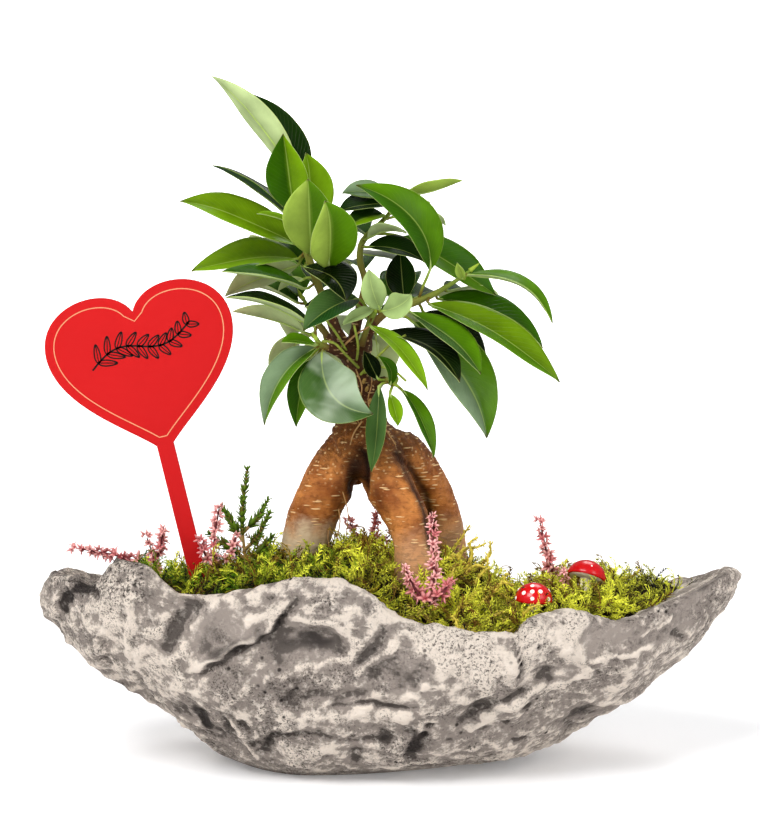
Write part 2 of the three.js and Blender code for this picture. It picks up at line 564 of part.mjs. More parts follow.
    line: [[-31, 206.5, -9], [-35, 208.5, -11.5], [-37.5, 212, -12]],
    radii: [1.7, 1.4, 0.8],
    leaves: [
      { at: 0.9, base: [-38, 217.5, -10], tip: [-82, 232, -14], width: 22, face: [0, -0.1, 1], bow: [0, 0, 3] },
      { at: 0.8, base: [-42, 214, -2], tip: [-78.5, 225, 6], width: 18, face: [0, 0.5, 0.85], bow: [0, 0, 2] },
      { at: 0.6, base: [-37, 208, -15], tip: [-54.5, 209.5, -26], width: 11, face: [0, -0.5, 0.85], bow: [0, 0, 1] },
      { at: 0.5, base: [-37, 206.5, -13], tip: [-63, 168, -20], width: 22, face: [-0.6, -0.55, 0.5], bow: [-3, -2, 6] },
      { at: 0.2, base: [-34, 204.5, -14], tip: [-8.5, 173.5, -42], width: 34, face: [-0.1, -0.85, 0.45], bow: [-8, -4, -6] },
      { at: 0.35, base: [-37, 201, -10], tip: [-47, 167, -12], width: 14, face: [-0.3, -0.8, 0.2], bow: [-2, 0, 2] },
      { at: 0.3, base: [-39, 203, -4], tip: [-48, 196, 2], width: 5, face: [0, -0.6, 0.7], bow: [0, 0, 0] },
    ],
  },
  {
    name: 'shoot_low_right',
    line: [[-3.5, 190, -12], [0, 190, -15], [3, 188, -17]],
    radii: [1.6, 1.4, 0.8],
    leaves: [
      { at: 0.6, base: [-5.5, 187.5, -21], tip: [-9.5, 144.5, -34], width: 11, face: [-0.3, -0.9, 0.1], bow: [1, -2, 0] },
      { at: 0.8, base: [0, 183.5, -19], tip: [4, 167.5, -24], width: 8, face: [0.4, -0.9, 0.1], bow: [0.5, -1, 0] },
      { at: 0.9, base: [6, 185.5, -15], tip: [22, 151.5, -20], width: 13, face: [0.55, -0.5, 0.6], bow: [2, 0, 2] },
      { at: 0.4, base: [-6, 191, -16], tip: [-13, 205, -19], width: 9, face: [0, -0.8, 0.4], bow: [0, 0, 0] },
      { at: 0.5, base: [0, 188, -18], tip: [-6, 202.5, -28], width: 7, face: [0.3, -0.8, 0.4], bow: [3, -1, 1] },
      { at: 0.7, base: [1, 187, -13], tip: [2, 194, -6], width: 6, face: [0, -0.6, 0.6], bow: [0, 0, 0] },
    ],
  },
  {
    name: 'shoot_back',
    line: [[-11, 209, 20], [-9.5, 217, 29], [-7.5, 225, 36], [-7, 230, 40]],
    radii: [1.9, 1.6, 1.3, 0.7],
    leaves: [
      { at: 0.95, base: [-6, 230, 42], tip: [0, 236, 80], width: 24, face: [0.1, -0.1, 0.95], bow: [0, 0, 5] },
      { at: 0.8, base: [-4, 223, 38], tip: [26, 207, 74], width: 25, face: [0.3, 0.1, 0.95], bow: [0, 0, 6] },
      { at: 0.7, base: [-11, 221, 36], tip: [-20, 212, 80], width: 25, face: [-0.3, 0.1, 0.95], bow: [0, 0, 6] },
      { at: 0.45, base: [-12, 211, 32], tip: [-24, 180, 60], width: 26, face: [-0.1, 0.8, 0.5], bow: [0, 3, 5] },
      { at: 0.55, base: [-7, 213, 34], tip: [-6, 184, 66], width: 24, face: [0.2, 0.8, 0.5], bow: [0, 3, 5] },
    ],
  },
  {
    name: 'shoot_back_left',
    line: [[-30, 211, 20], [-36, 219, 27], [-41, 227, 32], [-44, 232, 35]],
    radii: [1.9, 1.6, 1.3, 0.7],
    leaves: [
      { at: 0.95, base: [-45, 232, 37], tip: [-56, 249, 79], width: 25, face: [-0.1, -0.1, 0.95], bow: [0, 0, 5] },
      { at: 0.85, base: [-46, 229, 34], tip: [-80, 236, 54], width: 24, face: [-0.1, 0.1, 0.95], bow: [0, 0, 5] },
      { at: 0.6, base: [-38, 221, 33], tip: [-50, 210, 78], width: 25, face: [-0.1, 0.3, 0.9], bow: [0, 0, 6] },
      { at: 0.4, base: [-38, 214, 26], tip: [-57, 187, 46], width: 20, face: [-0.5, 0.5, 0.6], bow: [-3, 2, 5] },
      { at: 0.25, base: [-32, 208, 27], tip: [-38, 176, 52], width: 24, face: [0.1, 0.8, 0.5], bow: [0, 3, 5] },
    ],
  },
]

function shootSolid({ line, radii, leaves }, trunkRoom) {
  const places = line.map(seen)
  const twig = routeOf(line)
  const pieces = [limb(places, radii, { sides: 5, steps: line.length })]
  for (const leaf of leaves) {
    pieces.push(leafSolid(twig.getPointAt(leaf.at), leaf))
  }
  return largestBody(joined(pieces).subtract(trunkRoom))
}

// Sprigs

// How far a small leaf's tip lies along the stem and out from it, as shares of its length.
const LEAF_LEAN = { along: 0.62, out: 0.8 }
const STEM_END = 0.97
const BARE_SHARE = 0.3
const MOSS_MARGIN = 4

// A ring of six points round a stem. drawn tells how far a point is drawn out to a leaf's tip.
function stemRing(curve, t, radius, drawn = () => 0) {
  const centre = curve.getPointAt(t)
  const tangent = curve.getTangentAt(t)
  const side = vector(0.2, 1, 0).cross(tangent).normalize()
  const other = tangent.clone().cross(side)
  const ring = []
  for (let k = 0; k < 6; k += 1) {
    const angle = (k / 6) * 2 * Math.PI
    const out = drawn(k)
    const point = centre.clone().addScaledVector(tangent, out * LEAF_LEAN.along)
    point.addScaledVector(side, Math.cos(angle) * (radius + out * LEAF_LEAN.out))
    point.addScaledVector(other, Math.sin(angle) * (radius + out * LEAF_LEAN.out))
    ring.push(point)
  }
  return ring
}

// A stem whose skin is drawn out, above its bare foot, to small pointed leaves: three in each
// whorl, turned by half a step from one whorl to the next, leaning to the tip.
function leafyStem({ line, whorls }, stem, leafLength, random) {
  const curve = routeOf(line)
  const bare = bareShare(curve)
  const step = (STEM_END - bare) / whorls
  const rings = [stemRing(curve, 0, stem), stemRing(curve, bare * 0.5, stem)]
  for (let whorl = 0; whorl < whorls; whorl += 1) {
    const t = bare + step * whorl
    const size = leafLength * (1.15 - 0.5 * t)
    const drawn = (k) => (k % 2 === whorl % 2 ? size * (0.8 + 0.4 * random()) : 0)
    rings.push(stemRing(curve, t, stem * 0.8))
    rings.push(stemRing(curve, t + step * 0.5, stem * 0.8, drawn))
  }
  rings.push(stemRing(curve, (1 + STEM_END) / 2, stem * 0.5))
  return loft(rings, () => false, curve.getPointAt(1))
}

// Sprigs: each is a main stem rooted in the soil and the stems that branch from it, as routes in the
// front view, with the number of leaf whorls on each.
const SPRIGS = [
  {
    name: 'pink_sprig_lying', colour: 'pink', seed: 11, stem: 0.8, leafLength: 3.4,
    stems: [{ line: [[-112, 84, 0], [-119, 96, 2], [-134, 102, 4], [-157, 106.5, 5]], whorls: 6 }],
  },
  {
    name: 'pink_sprig_left', colour: 'pink', seed: 12, stem: 0.8, leafLength: 3.4,
    stems: [
      { line: [[-117, 82, -2], [-117.5, 95, -2], [-119, 104, -2], [-121.5, 111.5, -2]], whorls: 4 },
      { line: [[-117.8, 98, -2], [-115, 106, -1], [-113.5, 114, 0]], whorls: 4 },
    ],
  },
  {
    name: 'pink_sprig_beside', colour: 'pink', seed: 13, stem: 0.8, leafLength: 3.4,
    stems: [
      { line: [[-86, 78, -18], [-87, 92, -18], [-88, 108, -17], [-85.5, 126, -16]], whorls: 6 },
      { line: [[-87.3, 97, -18], [-92, 102, -20], [-94, 109, -21]], whorls: 3 },
      { line: [[-87.3, 97, -18], [-80, 103, -20], [-77, 112, -21]], whorls: 4 },
    ],
  },
  {
    name: 'pink_sprig_arch', colour: 'pink', seed: 14, stem: 0.8, leafLength: 3.4,
    stems: [
      { line: [[-10, 84, 30], [-9, 106, 30], [-8, 114, 30], [-6, 126, 30]], whorls: 4 },
      { line: [[-9, 106.5, 30], [-16, 112, 30], [-20, 119, 30]], whorls: 4 },
      { line: [[-9, 106.5, 30], [-4, 109.5, 32], [0, 113, 33]], whorls: 3 },
    ],
  },
  {
    name: 'pink_sprig_front', colour: 'pink', seed: 15, stem: 0.9, leafLength: 3.4,
    stems: [
      { line: [[19, 60, -58], [20, 74, -58], [22, 95, -55], [21, 121, -51]], whorls: 9 },
      { line: [[20.3, 78, -58], [14, 84, -60], [8, 95, -60]], whorls: 4 },
      { line: [[20.5, 80, -58], [26, 84, -60], [30, 89, -60]], whorls: 3 },
    ],
  },
  {
    name: 'pink_sprig_right', colour: 'pink', seed: 16, stem: 0.8, leafLength: 3.4,
    stems: [{ line: [[85, 70, -6], [84, 84, -6], [79, 102, -5], [75, 119, -4]], whorls: 8 }],
  },
  {
    name: 'pink_sprig_low', colour: 'pink', seed: 17, stem: 0.8, leafLength: 3.4,
    stems: [{ line: [[91, 66, -30], [90, 79, -30], [87, 93.5, -31]], whorls: 4 }],
  },
  {
    name: 'green_sprig', colour: 'needle', seed: 21, stem: 1.1, leafLength: 4.6,
    stems: [
      { line: [[-71, 80, -8], [-72, 97, -8], [-74, 123, -8], [-71.5, 145, -8]], whorls: 8 },
      { line: [[-73.6, 110, -8], [-79, 119, -5], [-83.5, 126.5, -3]], whorls: 3 },
      { line: [[-73.6, 114, -8], [-66, 122, -6], [-61.5, 130, -4]], whorls: 4 },
      { line: [[-73, 105, -8], [-66, 113, -13], [-61, 123, -16]], whorls: 3 },
      { line: [[-72.4, 101, -8], [-65, 105, -4], [-60, 111, -2]], whorls: 3 },
      { line: [[-72.4, 101, -8], [-82, 108, -5], [-89.5, 113, -3]], whorls: 4 },
    ],
  },
]

// The share of a stem that is bare: at least its foot, and as far as it stands in the moss.
function bareShare(curve) {
  let t = BARE_SHARE
  while (t < 1) {
    const point = curve.getPointAt(t)
    if (point.z > mossHeight(point.x, point.y) + MOSS_MARGIN) return t
    t += 0.02
  }
  return t
}

function sprigHole({ line }, stem) {
  const curve = routeOf(line)
  const bare = bareShare(curve)
  const foot = stemRing(curve, 0, stem + FIT)
  const below = foot.map((point) => point.clone().setZ(point.z - FIT))
  return loft([below, stemRing(curve, bare * 0.5, stem + FIT), stemRing(curve, bare, stem + FIT)])
}

function sprigSolid({ stems, seed, stem, leafLength }) {
  const random = randomSource(seed)
  return joined(stems.map((one) => leafyStem(one, stem, leafLength, random)))
}

// Toy mushrooms

const MUSHROOMS = [
  { side: 'right', cap: [98, 91, -22], radius: 9.3, height: 9.5, lean: 10, stemLength: 22 },
  { side: 'left', cap: [71.8, 80, -46], radius: 9.3, height: 9, lean: 3, stemLength: 16 },
]

function leaned(made, { cap, lean }) {
  const geometry = made
  geometry.rotateX(Math.PI / 2)
  geometry.rotateY(THREE.MathUtils.degToRad(lean))
  geometry.translate(...seen(cap).toArray())
  return geometry
}

const CAP_HOLLOW = { middle: 0.6, halfWay: 0.4 }
const CAP_SIDES = 14
const STEM = { foot: 1.8, belly: 2.9, bellyBelow: 6, top: 2.4, clearAbove: 4, sides: 8 }

// The cap is a dome with a shallow hollow below, whose middle seats the stem.
function capGeometry({ radius, height, cap, lean }) {
  const { middle, halfWay } = CAP_HOLLOW
  const profile = [new THREE.Vector2(0, middle), new THREE.Vector2(radius * 0.5, halfWay)]
  for (let k = 0; k <= 4; k += 1) {
    const angle = (k / 4) * (Math.PI / 2)
    profile.push(new THREE.Vector2(radius * Math.cos(angle), height * Math.sin(angle)))
  }
  profile[profile.length - 1].x = 0
  return leaned(new THREE.LatheGeometry(profile, CAP_SIDES), { cap, lean })
}

function stemGeometry({ cap, lean, stemLength }, grow) {
  const top = grow ? STEM.clearAbove : FIT
  const profile = [
    new THREE.Vector2(0, -stemLength - grow),
    new THREE.Vector2(STEM.foot + grow, -stemLength - grow),
    new THREE.Vector2(STEM.belly + grow, -STEM.bellyBelow),
    new THREE.Vector2(STEM.top + grow, top),
    new THREE.Vector2(0, top),
  ]
  return leaned(new THREE.LatheGeometry(profile, STEM.sides), { cap, lean })
}

// Heart pick: heart and stick cut from one sheet, turned to the left by its lean.
const PICK = {
  thickness: 3, lean: 13.3, halfStick: 4.25, buried: 38, stick: 65.7, taper: 8, foot: [-96.5, 95, -15],
}

function heartShape() {
  const { halfStick, stick, buried, taper } = PICK
  const shape = new THREE.Shape()
  shape.moveTo(halfStick, 0)
  shape.bezierCurveTo(16, 12, 47, 30, 47, 55)
  shape.bezierCurveTo(46.5, 82, 8, 85.5, 0, 67.7)
  shape.bezierCurveTo(-8, 85.5, -46.5, 82, -47, 55)
  shape.bezierCurveTo(-47, 30, -16, 12, -halfStick, 0)
  shape.lineTo(-halfStick, -stick - buried + taper)
  shape.lineTo(0, -stick - buried)
  shape.lineTo(halfStick, -stick - buried + taper)
  shape.closePath()
  return shape
}

function pickGeometry(grow) {
  const options = { depth: PICK.thickness + 2 * grow, bevelEnabled: false, curveSegments: 9 }
  let shape = heartShape()
  if (grow) {
    const half = PICK.halfStick + grow
    const low = -PICK.stick - PICK.buried - grow
    shape = new THREE.Shape()
    shape.moveTo(half, 0)
    shape.lineTo(-half, 0)
    shape.lineTo(-half, low + PICK.taper)
    shape.lineTo(0, low)
    shape.lineTo(half, low + PICK.taper)
    shape.closePath()
  }
  const geometry = new THREE.ExtrudeGeometry(shape, options)
  geometry.translate(0, PICK.stick, -PICK.thickness / 2 - grow)
  geometry.rotateX(Math.PI / 2)
  geometry.rotateY(-THREE.MathUtils.degToRad(PICK.lean))
  geometry.translate(...seen(PICK.foot).toArray())
  return geometry
}

// The whole arrangement

const object = new THREE.Group()

object.add(meshOf('planter', planterSolid(), COLOURS.stone))

const trunk = trunkSolid(0)
const trunkRoom = trunkSolid(FIT)
object.add(meshOf('trunk', trunk, COLOURS.bark))
for (const shoot of SHOOTS) {
  const colour = shoot.name === 'shoot_young' ? COLOURS.youngLeaf : COLOURS.leaf
  object.add(meshOf(shoot.name, shootSolid(shoot, trunkRoom), colour))
}

for (const sprig of SPRIGS) object.add(meshOf(sprig.name, sprigSolid(sprig), COLOURS[sprig.colour]))

for (const mushroom of MUSHROOMS) {
  const { side } = mushroom
  object.add(meshOf(`mushroom_cap_${side}`, solidOf(capGeometry(mushroom)), COLOURS.capRed))
  object.add(meshOf(`mushroom_stem_${side}`, solidOf(stemGeometry(mushroom, 0)), COLOURS.stemWhite))
}

object.add(meshOf('heart_pick', solidOf(pickGeometry(0)), COLOURS.signRed))

// Everything that stands in the moss and the soil gets a plain hole there.
const holes = joined([
  trunkRoom,
  solidOf(pickGeometry(FIT)),
  ...MUSHROOMS.map((mushroom) => solidOf(stemGeometry(mushroom, FIT))),
  ...SPRIGS.map((sprig) => sprigHole(sprig.stems[0], sprig.stem)),
])
const room = cavitySolid(CAVITY.clearance)
const belowFloor = () => PLANTER.floor - BLANKET.below
const soilFill = blanket(soilHeight, belowFloor, SOIL_GRID)
const soilRoom = blanket((x, y) => soilHeight(x, y) + FIT, belowFloor, SOIL_GRID)
const mossTop = blanket((x, y) => mossHeight(x, y) + mossTufts(x, y), belowFloor, MOSS_GRID)
object.add(meshOf('soil', room.intersect(soilFill).subtract(holes), COLOURS.soil))
object.add(meshOf('moss', room.intersect(mossTop).subtract(soilRoom).subtract(holes), COLOURS.moss))

export default object
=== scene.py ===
"""Dresses a potted fig bonsai: stone planter, moss, trunk, leaves, sprigs, toy mushrooms, heart pick."""

import logging
import math
import random
from dataclasses import dataclass
from enum import Enum
from typing import Callable, Iterable, Sequence

import bmesh
import bpy
import numpy as np
from mathutils import Matrix, Vector, noise


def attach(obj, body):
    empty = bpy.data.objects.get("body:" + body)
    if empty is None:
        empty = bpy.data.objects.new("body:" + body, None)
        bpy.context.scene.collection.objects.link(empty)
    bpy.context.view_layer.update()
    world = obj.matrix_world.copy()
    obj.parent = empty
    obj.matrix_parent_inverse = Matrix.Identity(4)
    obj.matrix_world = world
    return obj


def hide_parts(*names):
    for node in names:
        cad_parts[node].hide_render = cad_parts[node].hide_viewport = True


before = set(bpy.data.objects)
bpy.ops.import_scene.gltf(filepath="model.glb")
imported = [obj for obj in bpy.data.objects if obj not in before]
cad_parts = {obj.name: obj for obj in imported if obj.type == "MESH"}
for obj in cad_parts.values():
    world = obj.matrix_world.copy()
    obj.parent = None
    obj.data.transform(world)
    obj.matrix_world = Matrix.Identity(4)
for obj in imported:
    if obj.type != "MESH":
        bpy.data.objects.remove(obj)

LOG = logging.getLogger("bonsai")
MM = 0.001
BODY = "root"
# Fixes the noise vectors that bend the stone's marks, which otherwise change with the clock.
RELIEF_SEED = 3
Pair = tuple[float, float]
Triple = tuple[float, float, float]
Colour = Sequence[float]
Material = bpy.types.Material
Mesh = bpy.types.Mesh
Piece = bpy.types.Object


def linear(red: float, green: float, blue: float) -> Colour:
    """A display colour, 0 to 255, as the linear colour with alpha that shaders take."""
    return (*((value / 255) ** 2.2 for value in (red, green, blue)), 1.0)


def mixed(first: Colour, second: Colour, share: float) -> list[float]:
    """Two linear colours mixed by a share."""
    return [a * (1 - share) + b * share for a, b in zip(first, second)]


def ease(value: float, low: float, high: float) -> float:
    """A smooth step from 0 at low to 1 at high."""
    share = min(1.0, max(0.0, (value - low) / (high - low)))
    return share * share * (3 - 2 * share)


def circle(sides: int) -> list[Pair]:
    """Cosines and sines of even turns round a circle."""
    turns = [2 * math.pi * k / sides for k in range(sides)]
    return [(math.cos(turn), math.sin(turn)) for turn in turns]


class Chain:
    """A smooth curve through pairs of position and value, without overshoot between them."""

    def __init__(self, pairs: Sequence[Pair]) -> None:
        """Works out the slopes.

        Args:
            pairs: Positions in rising order, each with its value.
        """
        self.x = np.array([pair[0] for pair in pairs], float)
        self.y = np.array([pair[1] for pair in pairs], float)
        steps = np.diff(self.y) / np.diff(self.x)
        self.slopes = np.zeros(len(pairs))
        self.slopes[0], self.slopes[-1] = steps[0], steps[-1]
        for k in range(1, len(steps)):
            if steps[k - 1] * steps[k] > 0:
                self.slopes[k] = 2 * steps[k - 1] * steps[k] / (steps[k - 1] + steps[k])

    def at(self, x: float | np.ndarray) -> np.ndarray:
        """The value at x, or at each x; beyond the ends it stays the same.

        Args:
            x: One position or an array of them.

        Returns:
            The value or values.
        """
        x = np.clip(x, self.x[0], self.x[-1])
        k = np.clip(np.searchsorted(self.x, x, side="right") - 1, 0, len(self.x) - 2)
        width = self.x[k + 1] - self.x[k]
        t = (x - self.x[k]) / width
        first = (1 + 2 * t) * (1 - t) ** 2 * self.y[k] + t * (1 - t) ** 2 * width * self.slopes[k]
        second = t * t * (3 - 2 * t) * self.y[k + 1] + t * t * (t - 1) * width * self.slopes[k + 1]
        return first + second


def tapering(radii: Sequence[float]) -> Chain:
    """Radii set at even steps along a limb."""
    return Chain([(k / (len(radii) - 1), radius) for k, radius in enumerate(radii)])


@dataclass(frozen=True)
class Eye:
    """The place that the front view is seen from, in millimetres and degrees."""

    tilt: float = 8.0
    distance: float = 1500.0
    across: float = -5.0
    up: float = 171.5
    frame_height: float = 418.0
    sensor: float = 36.0

    def place(self, point: Triple) -> Vector:
        """A place read in the front view.

        Args:
            point: How far across and up it is seen, and how far back it lies.

        Returns:
            The place in space.
        """
        across, up, back = point
        sine, cosine = math.sin(math.radians(self.tilt)), math.cos(math.radians(self.tilt))
        rise = up - self.up
        depth = (back - rise * sine) / (cosine + rise * sine / self.distance)
        spread = 1 + depth / self.distance
        height = self.up / cosine + spread * rise * cosine - depth * sine
        return Vector((self.across + spread * (across - self.across), back, height))


EYE = Eye()


class Route:
    """A smooth path through points, walked by shares of its length."""

    SAMPLES = 24

    def __init__(self, points: Sequence[Vector]) -> None:
        """Samples the path.

        Args:
            points: Two or more places that it passes through.
        """
        ends = [2 * points[0] - points[1], *points, 2 * points[-1] - points[-2]]
        self.places: list[Vector] = []
        for k in range(len(points) - 1):
            self.places += [self._between(ends[k : k + 4], s / self.SAMPLES) for s in range(self.SAMPLES)]
        self.places.append(points[-1].copy())
        lengths = [(b - a).length for a, b in zip(self.places, self.places[1:])]
        self.walked = np.concatenate([[0.0], np.cumsum(lengths)])
        self.length = float(self.walked[-1])

    @staticmethod
    def _between(four: Sequence[Vector], t: float) -> Vector:
        """A place between the middle two of four points, on a centripetal curve.

        Args:
            four: The points.
            t: The share from the second to the third.

        Returns:
            The place.
        """
        a, b, c, d = four
        first, second, third = [max(1e-6, (q - p).length) ** 0.5 for p, q in ((a, b), (b, c), (c, d))]
        out = ((b - a) / first - (c - a) / (first + second) + (c - b) / second) * second
        into = ((c - b) / second - (d - b) / (second + third) + (d - c) / third) * second
        return (
            b * (2 * t**3 - 3 * t**2 + 1)
            + out * (t**3 - 2 * t**2 + t)
            + c * (3 * t**2 - 2 * t**3)
            + into * (t**3 - t**2)
        )

    def at(self, share: float) -> Vector:
        """The place at a share of the length.

        Args:
            share: 0 at the start, 1 at the end.

        Returns:
            The place.
        """
        target = min(1.0, max(0.0, share)) * self.length
        k = min(len(self.places) - 2, max(0, int(np.searchsorted(self.walked, target)) - 1))
        step = self.walked[k + 1] - self.walked[k]
        return self.places[k].lerp(self.places[k + 1], (target - self.walked[k]) / step if step else 0)

    def way(self, share: float) -> Vector:
        """The direction at a share of the length, as a unit vector."""
        return (self.at(min(1, share + 0.01)) - self.at(max(0, share - 0.01))).normalized()


def seen(points: Sequence[Triple]) -> Route:
    """A smooth path through places of the front view."""
    return Route([EYE.place(point) for point in points])


def placed(name: str, data: bpy.types.ID) -> Piece:
    """Puts a new object into the scene, at the origin."""
    made = bpy.data.objects.new(name, data)
    bpy.context.scene.collection.objects.link(made)
    return made


def keep(mesh: Mesh, name: str, numbers: Sequence[float]) -> None:
    """Keeps a number for each of a mesh's places."""
    mesh.attributes.new(name, "FLOAT", "POINT").data.foreach_set("value", numbers)


def turn_outwards(mesh: Mesh) -> None:
    """Points every closed shell's faces outwards."""
    work = bmesh.new()
    work.from_mesh(mesh)
    bmesh.ops.recalc_face_normals(work, faces=work.faces)
    work.to_mesh(mesh)
    work.free()


def surface(mesh: Mesh) -> tuple[np.ndarray, np.ndarray]:
    """A mesh's places, in millimetres, and its normals there."""
    places, normals = np.zeros(len(mesh.vertices) * 3), np.zeros(len(mesh.vertices) * 3)
    mesh.vertices.foreach_get("co", places)
    mesh.vertex_normals.foreach_get("vector", normals)
    return places.reshape(-1, 3) / MM, normals.reshape(-1, 3)


def settle(piece: Piece) -> Piece:
    """Turns an object's modifiers into its mesh, and gives the same object back."""
    view = bpy.context.evaluated_depsgraph_get()
    mesh = bpy.data.meshes.new_from_object(piece.evaluated_get(view))
    piece.modifiers.clear()
    piece.data = mesh
    return piece


def dress(piece: Piece, slot: str, *nodes: str) -> None:
    """Fastens a finished piece to the model.

    Args:
        piece: The piece, in place.
        slot: A material slot's name; not used.
        nodes: The plain solids that it stands for.
    """
    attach(piece, BODY)
    if nodes:
        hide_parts(*nodes)
    triangles = sum(len(face.vertices) - 2 for face in piece.data.polygons)
    LOG.info("%s: %d triangles", piece.name, triangles)


class Shape:
    """A mesh in the making, in millimetres, with numbers and a tint kept for each place."""

    PLAIN = (0, 0, 0, 1)
    BEAD_LEVELS = (-0.75, -0.3, 0.3, 0.75)

    def __init__(self, *names: str) -> None:
        """Starts an empty mesh.

        Args:
            names: The numbers that each place carries for its material.
        """
        self.places: list[Vector] = []
        self.faces: list[Sequence[int]] = []
        self.looks: list[int] = []
        self.values: dict[str, list[float]] = {name: [] for name in names}
        self.tints: list[Colour] = []

    def add(self, place: Vector, tint: Colour = PLAIN, **values: float) -> int:
        """Adds a place.

        Args:
            place: Where it is.
            tint: Its colour, for materials that read one.
            values: Its numbers by name; those left out are 0.

        Returns:
            Its index.
        """
        self.places.append(place)
        self.tints.append(tint)
        for name, chain in self.values.items():
            chain.append(values.get(name, 0.0))
        return len(self.places) - 1

    def face(self, corners: Sequence[int], look: int = 0) -> None:
        """Adds a face with a material index."""
        self.faces.append(corners)
        self.looks.append(look)

    def bridge(self, first: Sequence[int], second: Sequence[int], look: int = 0, closed: bool = True) -> None:
        """Joins two rows of places of equal count with faces; closed rows are rings."""
        count = len(first)
        for k in range(count if closed else count - 1):
            after = (k + 1) % count
            self.face((first[k], first[after], second[after], second[k]), look)

    def skin(self, rows: Sequence[Sequence[int]], look: int = 0, closed: bool = True) -> None:
        """Joins each row of places to the next one."""
        for first, second in zip(rows, rows[1:]):
            self.bridge(first, second, look, closed)

    def shell(self, rings: Sequence[Sequence[int]], hubs: Sequence[int], look: int = 0) -> None:
        """Joins rings into a closed shell.

        Args:
            rings: The rings in order.
            hubs: The places that the first and the last ring close on.
            look: The material index.
        """
        self.skin(rings, look)
        for ring, hub in zip((rings[0], rings[-1]), hubs):
            for k, corner in enumerate(ring):
                self.face((corner, ring[(k + 1) % len(ring)], hub), look)

    def slab(self, rings: Sequence[Sequence[int]], look: int = 0) -> None:
        """Joins rings into a closed shell whose ends are flat faces."""
        self.skin(rings, look)
        self.face(rings[0], look)
        self.face(rings[-1], look)

    def tube(self, route: Route, radius: Callable[[float], float], steps: int, sides: int,
             tint: Callable[[float], Colour] = lambda share: Shape.PLAIN, **values: float) -> None:
        """A closed round tube along a route.

        Args:
            route: The path.
            radius: The radius at a share of the length.
            steps: Rings along it.
            sides: Places round it.
            tint: The colour at a share of the length.
            values: Numbers that all its places carry.
        """
        across = route.way(0).orthogonal().normalized()
        rings = []
        for step in range(steps + 1):
            share = step / steps
            turned = route.way(share)
            across = (across - turned * across.dot(turned)).normalized()
            other = turned.cross(across)
            centre, size = route.at(share), radius(share)
            ring = [centre + across * (cosine * size) + other * (sine * size) for cosine, sine in circle(sides)]
            rings.append([self.add(place, tint(share), **values) for place in ring])
        self.shell(rings, [self.add(route.at(share), tint(share), **values) for share in (0.0, 1.0)])

    def ball(self, centre: Vector, axis: Vector, radii: Pair, look: int, tint: Colour) -> None:
        """A small rounded bead, flattened or drawn out along an axis.

        Args:
            centre: Its middle.
            axis: Its axis.
            radii: The radius across and the half height along the axis.
            look: The material index.
            tint: Its colour.
        """
        axis = axis.normalized()
        across = axis.orthogonal().normalized()
        other = axis.cross(across)
        rings = []
        for level in self.BEAD_LEVELS:
            size = radii[0] * math.sqrt(1 - level * level)
            sides = [(across * cosine + other * sine) * size for cosine, sine in circle(8)]
            rings.append([self.add(centre + side + axis * (level * radii[1]), tint) for side in sides])
        self.shell(rings, [self.add(centre + axis * (end * radii[1]), tint) for end in (-1, 1)], look)

    def piece(self, name: str, *materials: Material, smooth: bool = True) -> Piece:
        """Makes the mesh an object, in metres, its faces outwards.

        Args:
            name: The object's name.
            materials: Its materials, by index.
            smooth: Whether its faces are shaded smooth.

        Returns:
            The object.
        """
        mesh = bpy.data.meshes.new(name)
        mesh.from_pydata([place * MM for place in self.places], [], [tuple(face) for face in self.faces])
        mesh.polygons.foreach_set("material_index", self.looks)
        for value_name, chain in self.values.items():
            keep(mesh, value_name, chain)
        tint = mesh.attributes.new("tint", "FLOAT_COLOR", "POINT")
        tint.data.foreach_set("color", np.array(self.tints, np.float32).ravel())
        turn_outwards(mesh)
        mesh.polygons.foreach_set("use_smooth", [smooth] * len(mesh.polygons))
        for material in materials:
            mesh.materials.append(material)
        return placed(name, mesh)


class Value:
    """A result in a node tree that adds, subtracts and multiplies like a number."""

    def __init__(self, maker: "NodeMaker", socket: bpy.types.NodeSocket) -> None:
        """Keeps the maker of the tree and the result's socket."""
        self.maker, self.socket = maker, socket

    def __add__(self, other: "Value | float") -> "Value":
        """The sum."""
        return self.maker.math("ADD", self, other)

    def __sub__(self, other: "Value | float") -> "Value":
        """The difference."""
        return self.maker.math("SUBTRACT", self, other)

    def __rsub__(self, other: float) -> "Value":
        """A plain number less this one."""
        return self.maker.math("SUBTRACT", other, self)

    def __mul__(self, other: "Value | float") -> "Value":
        """The product."""
        return self.maker.math("MULTIPLY", self, other)

    def axis(self, name: str) -> "Value":
        """One axis of a vector, X, Y or Z."""
        return self.maker.out("ShaderNodeSeparateXYZ", {"Vector": self}, name)


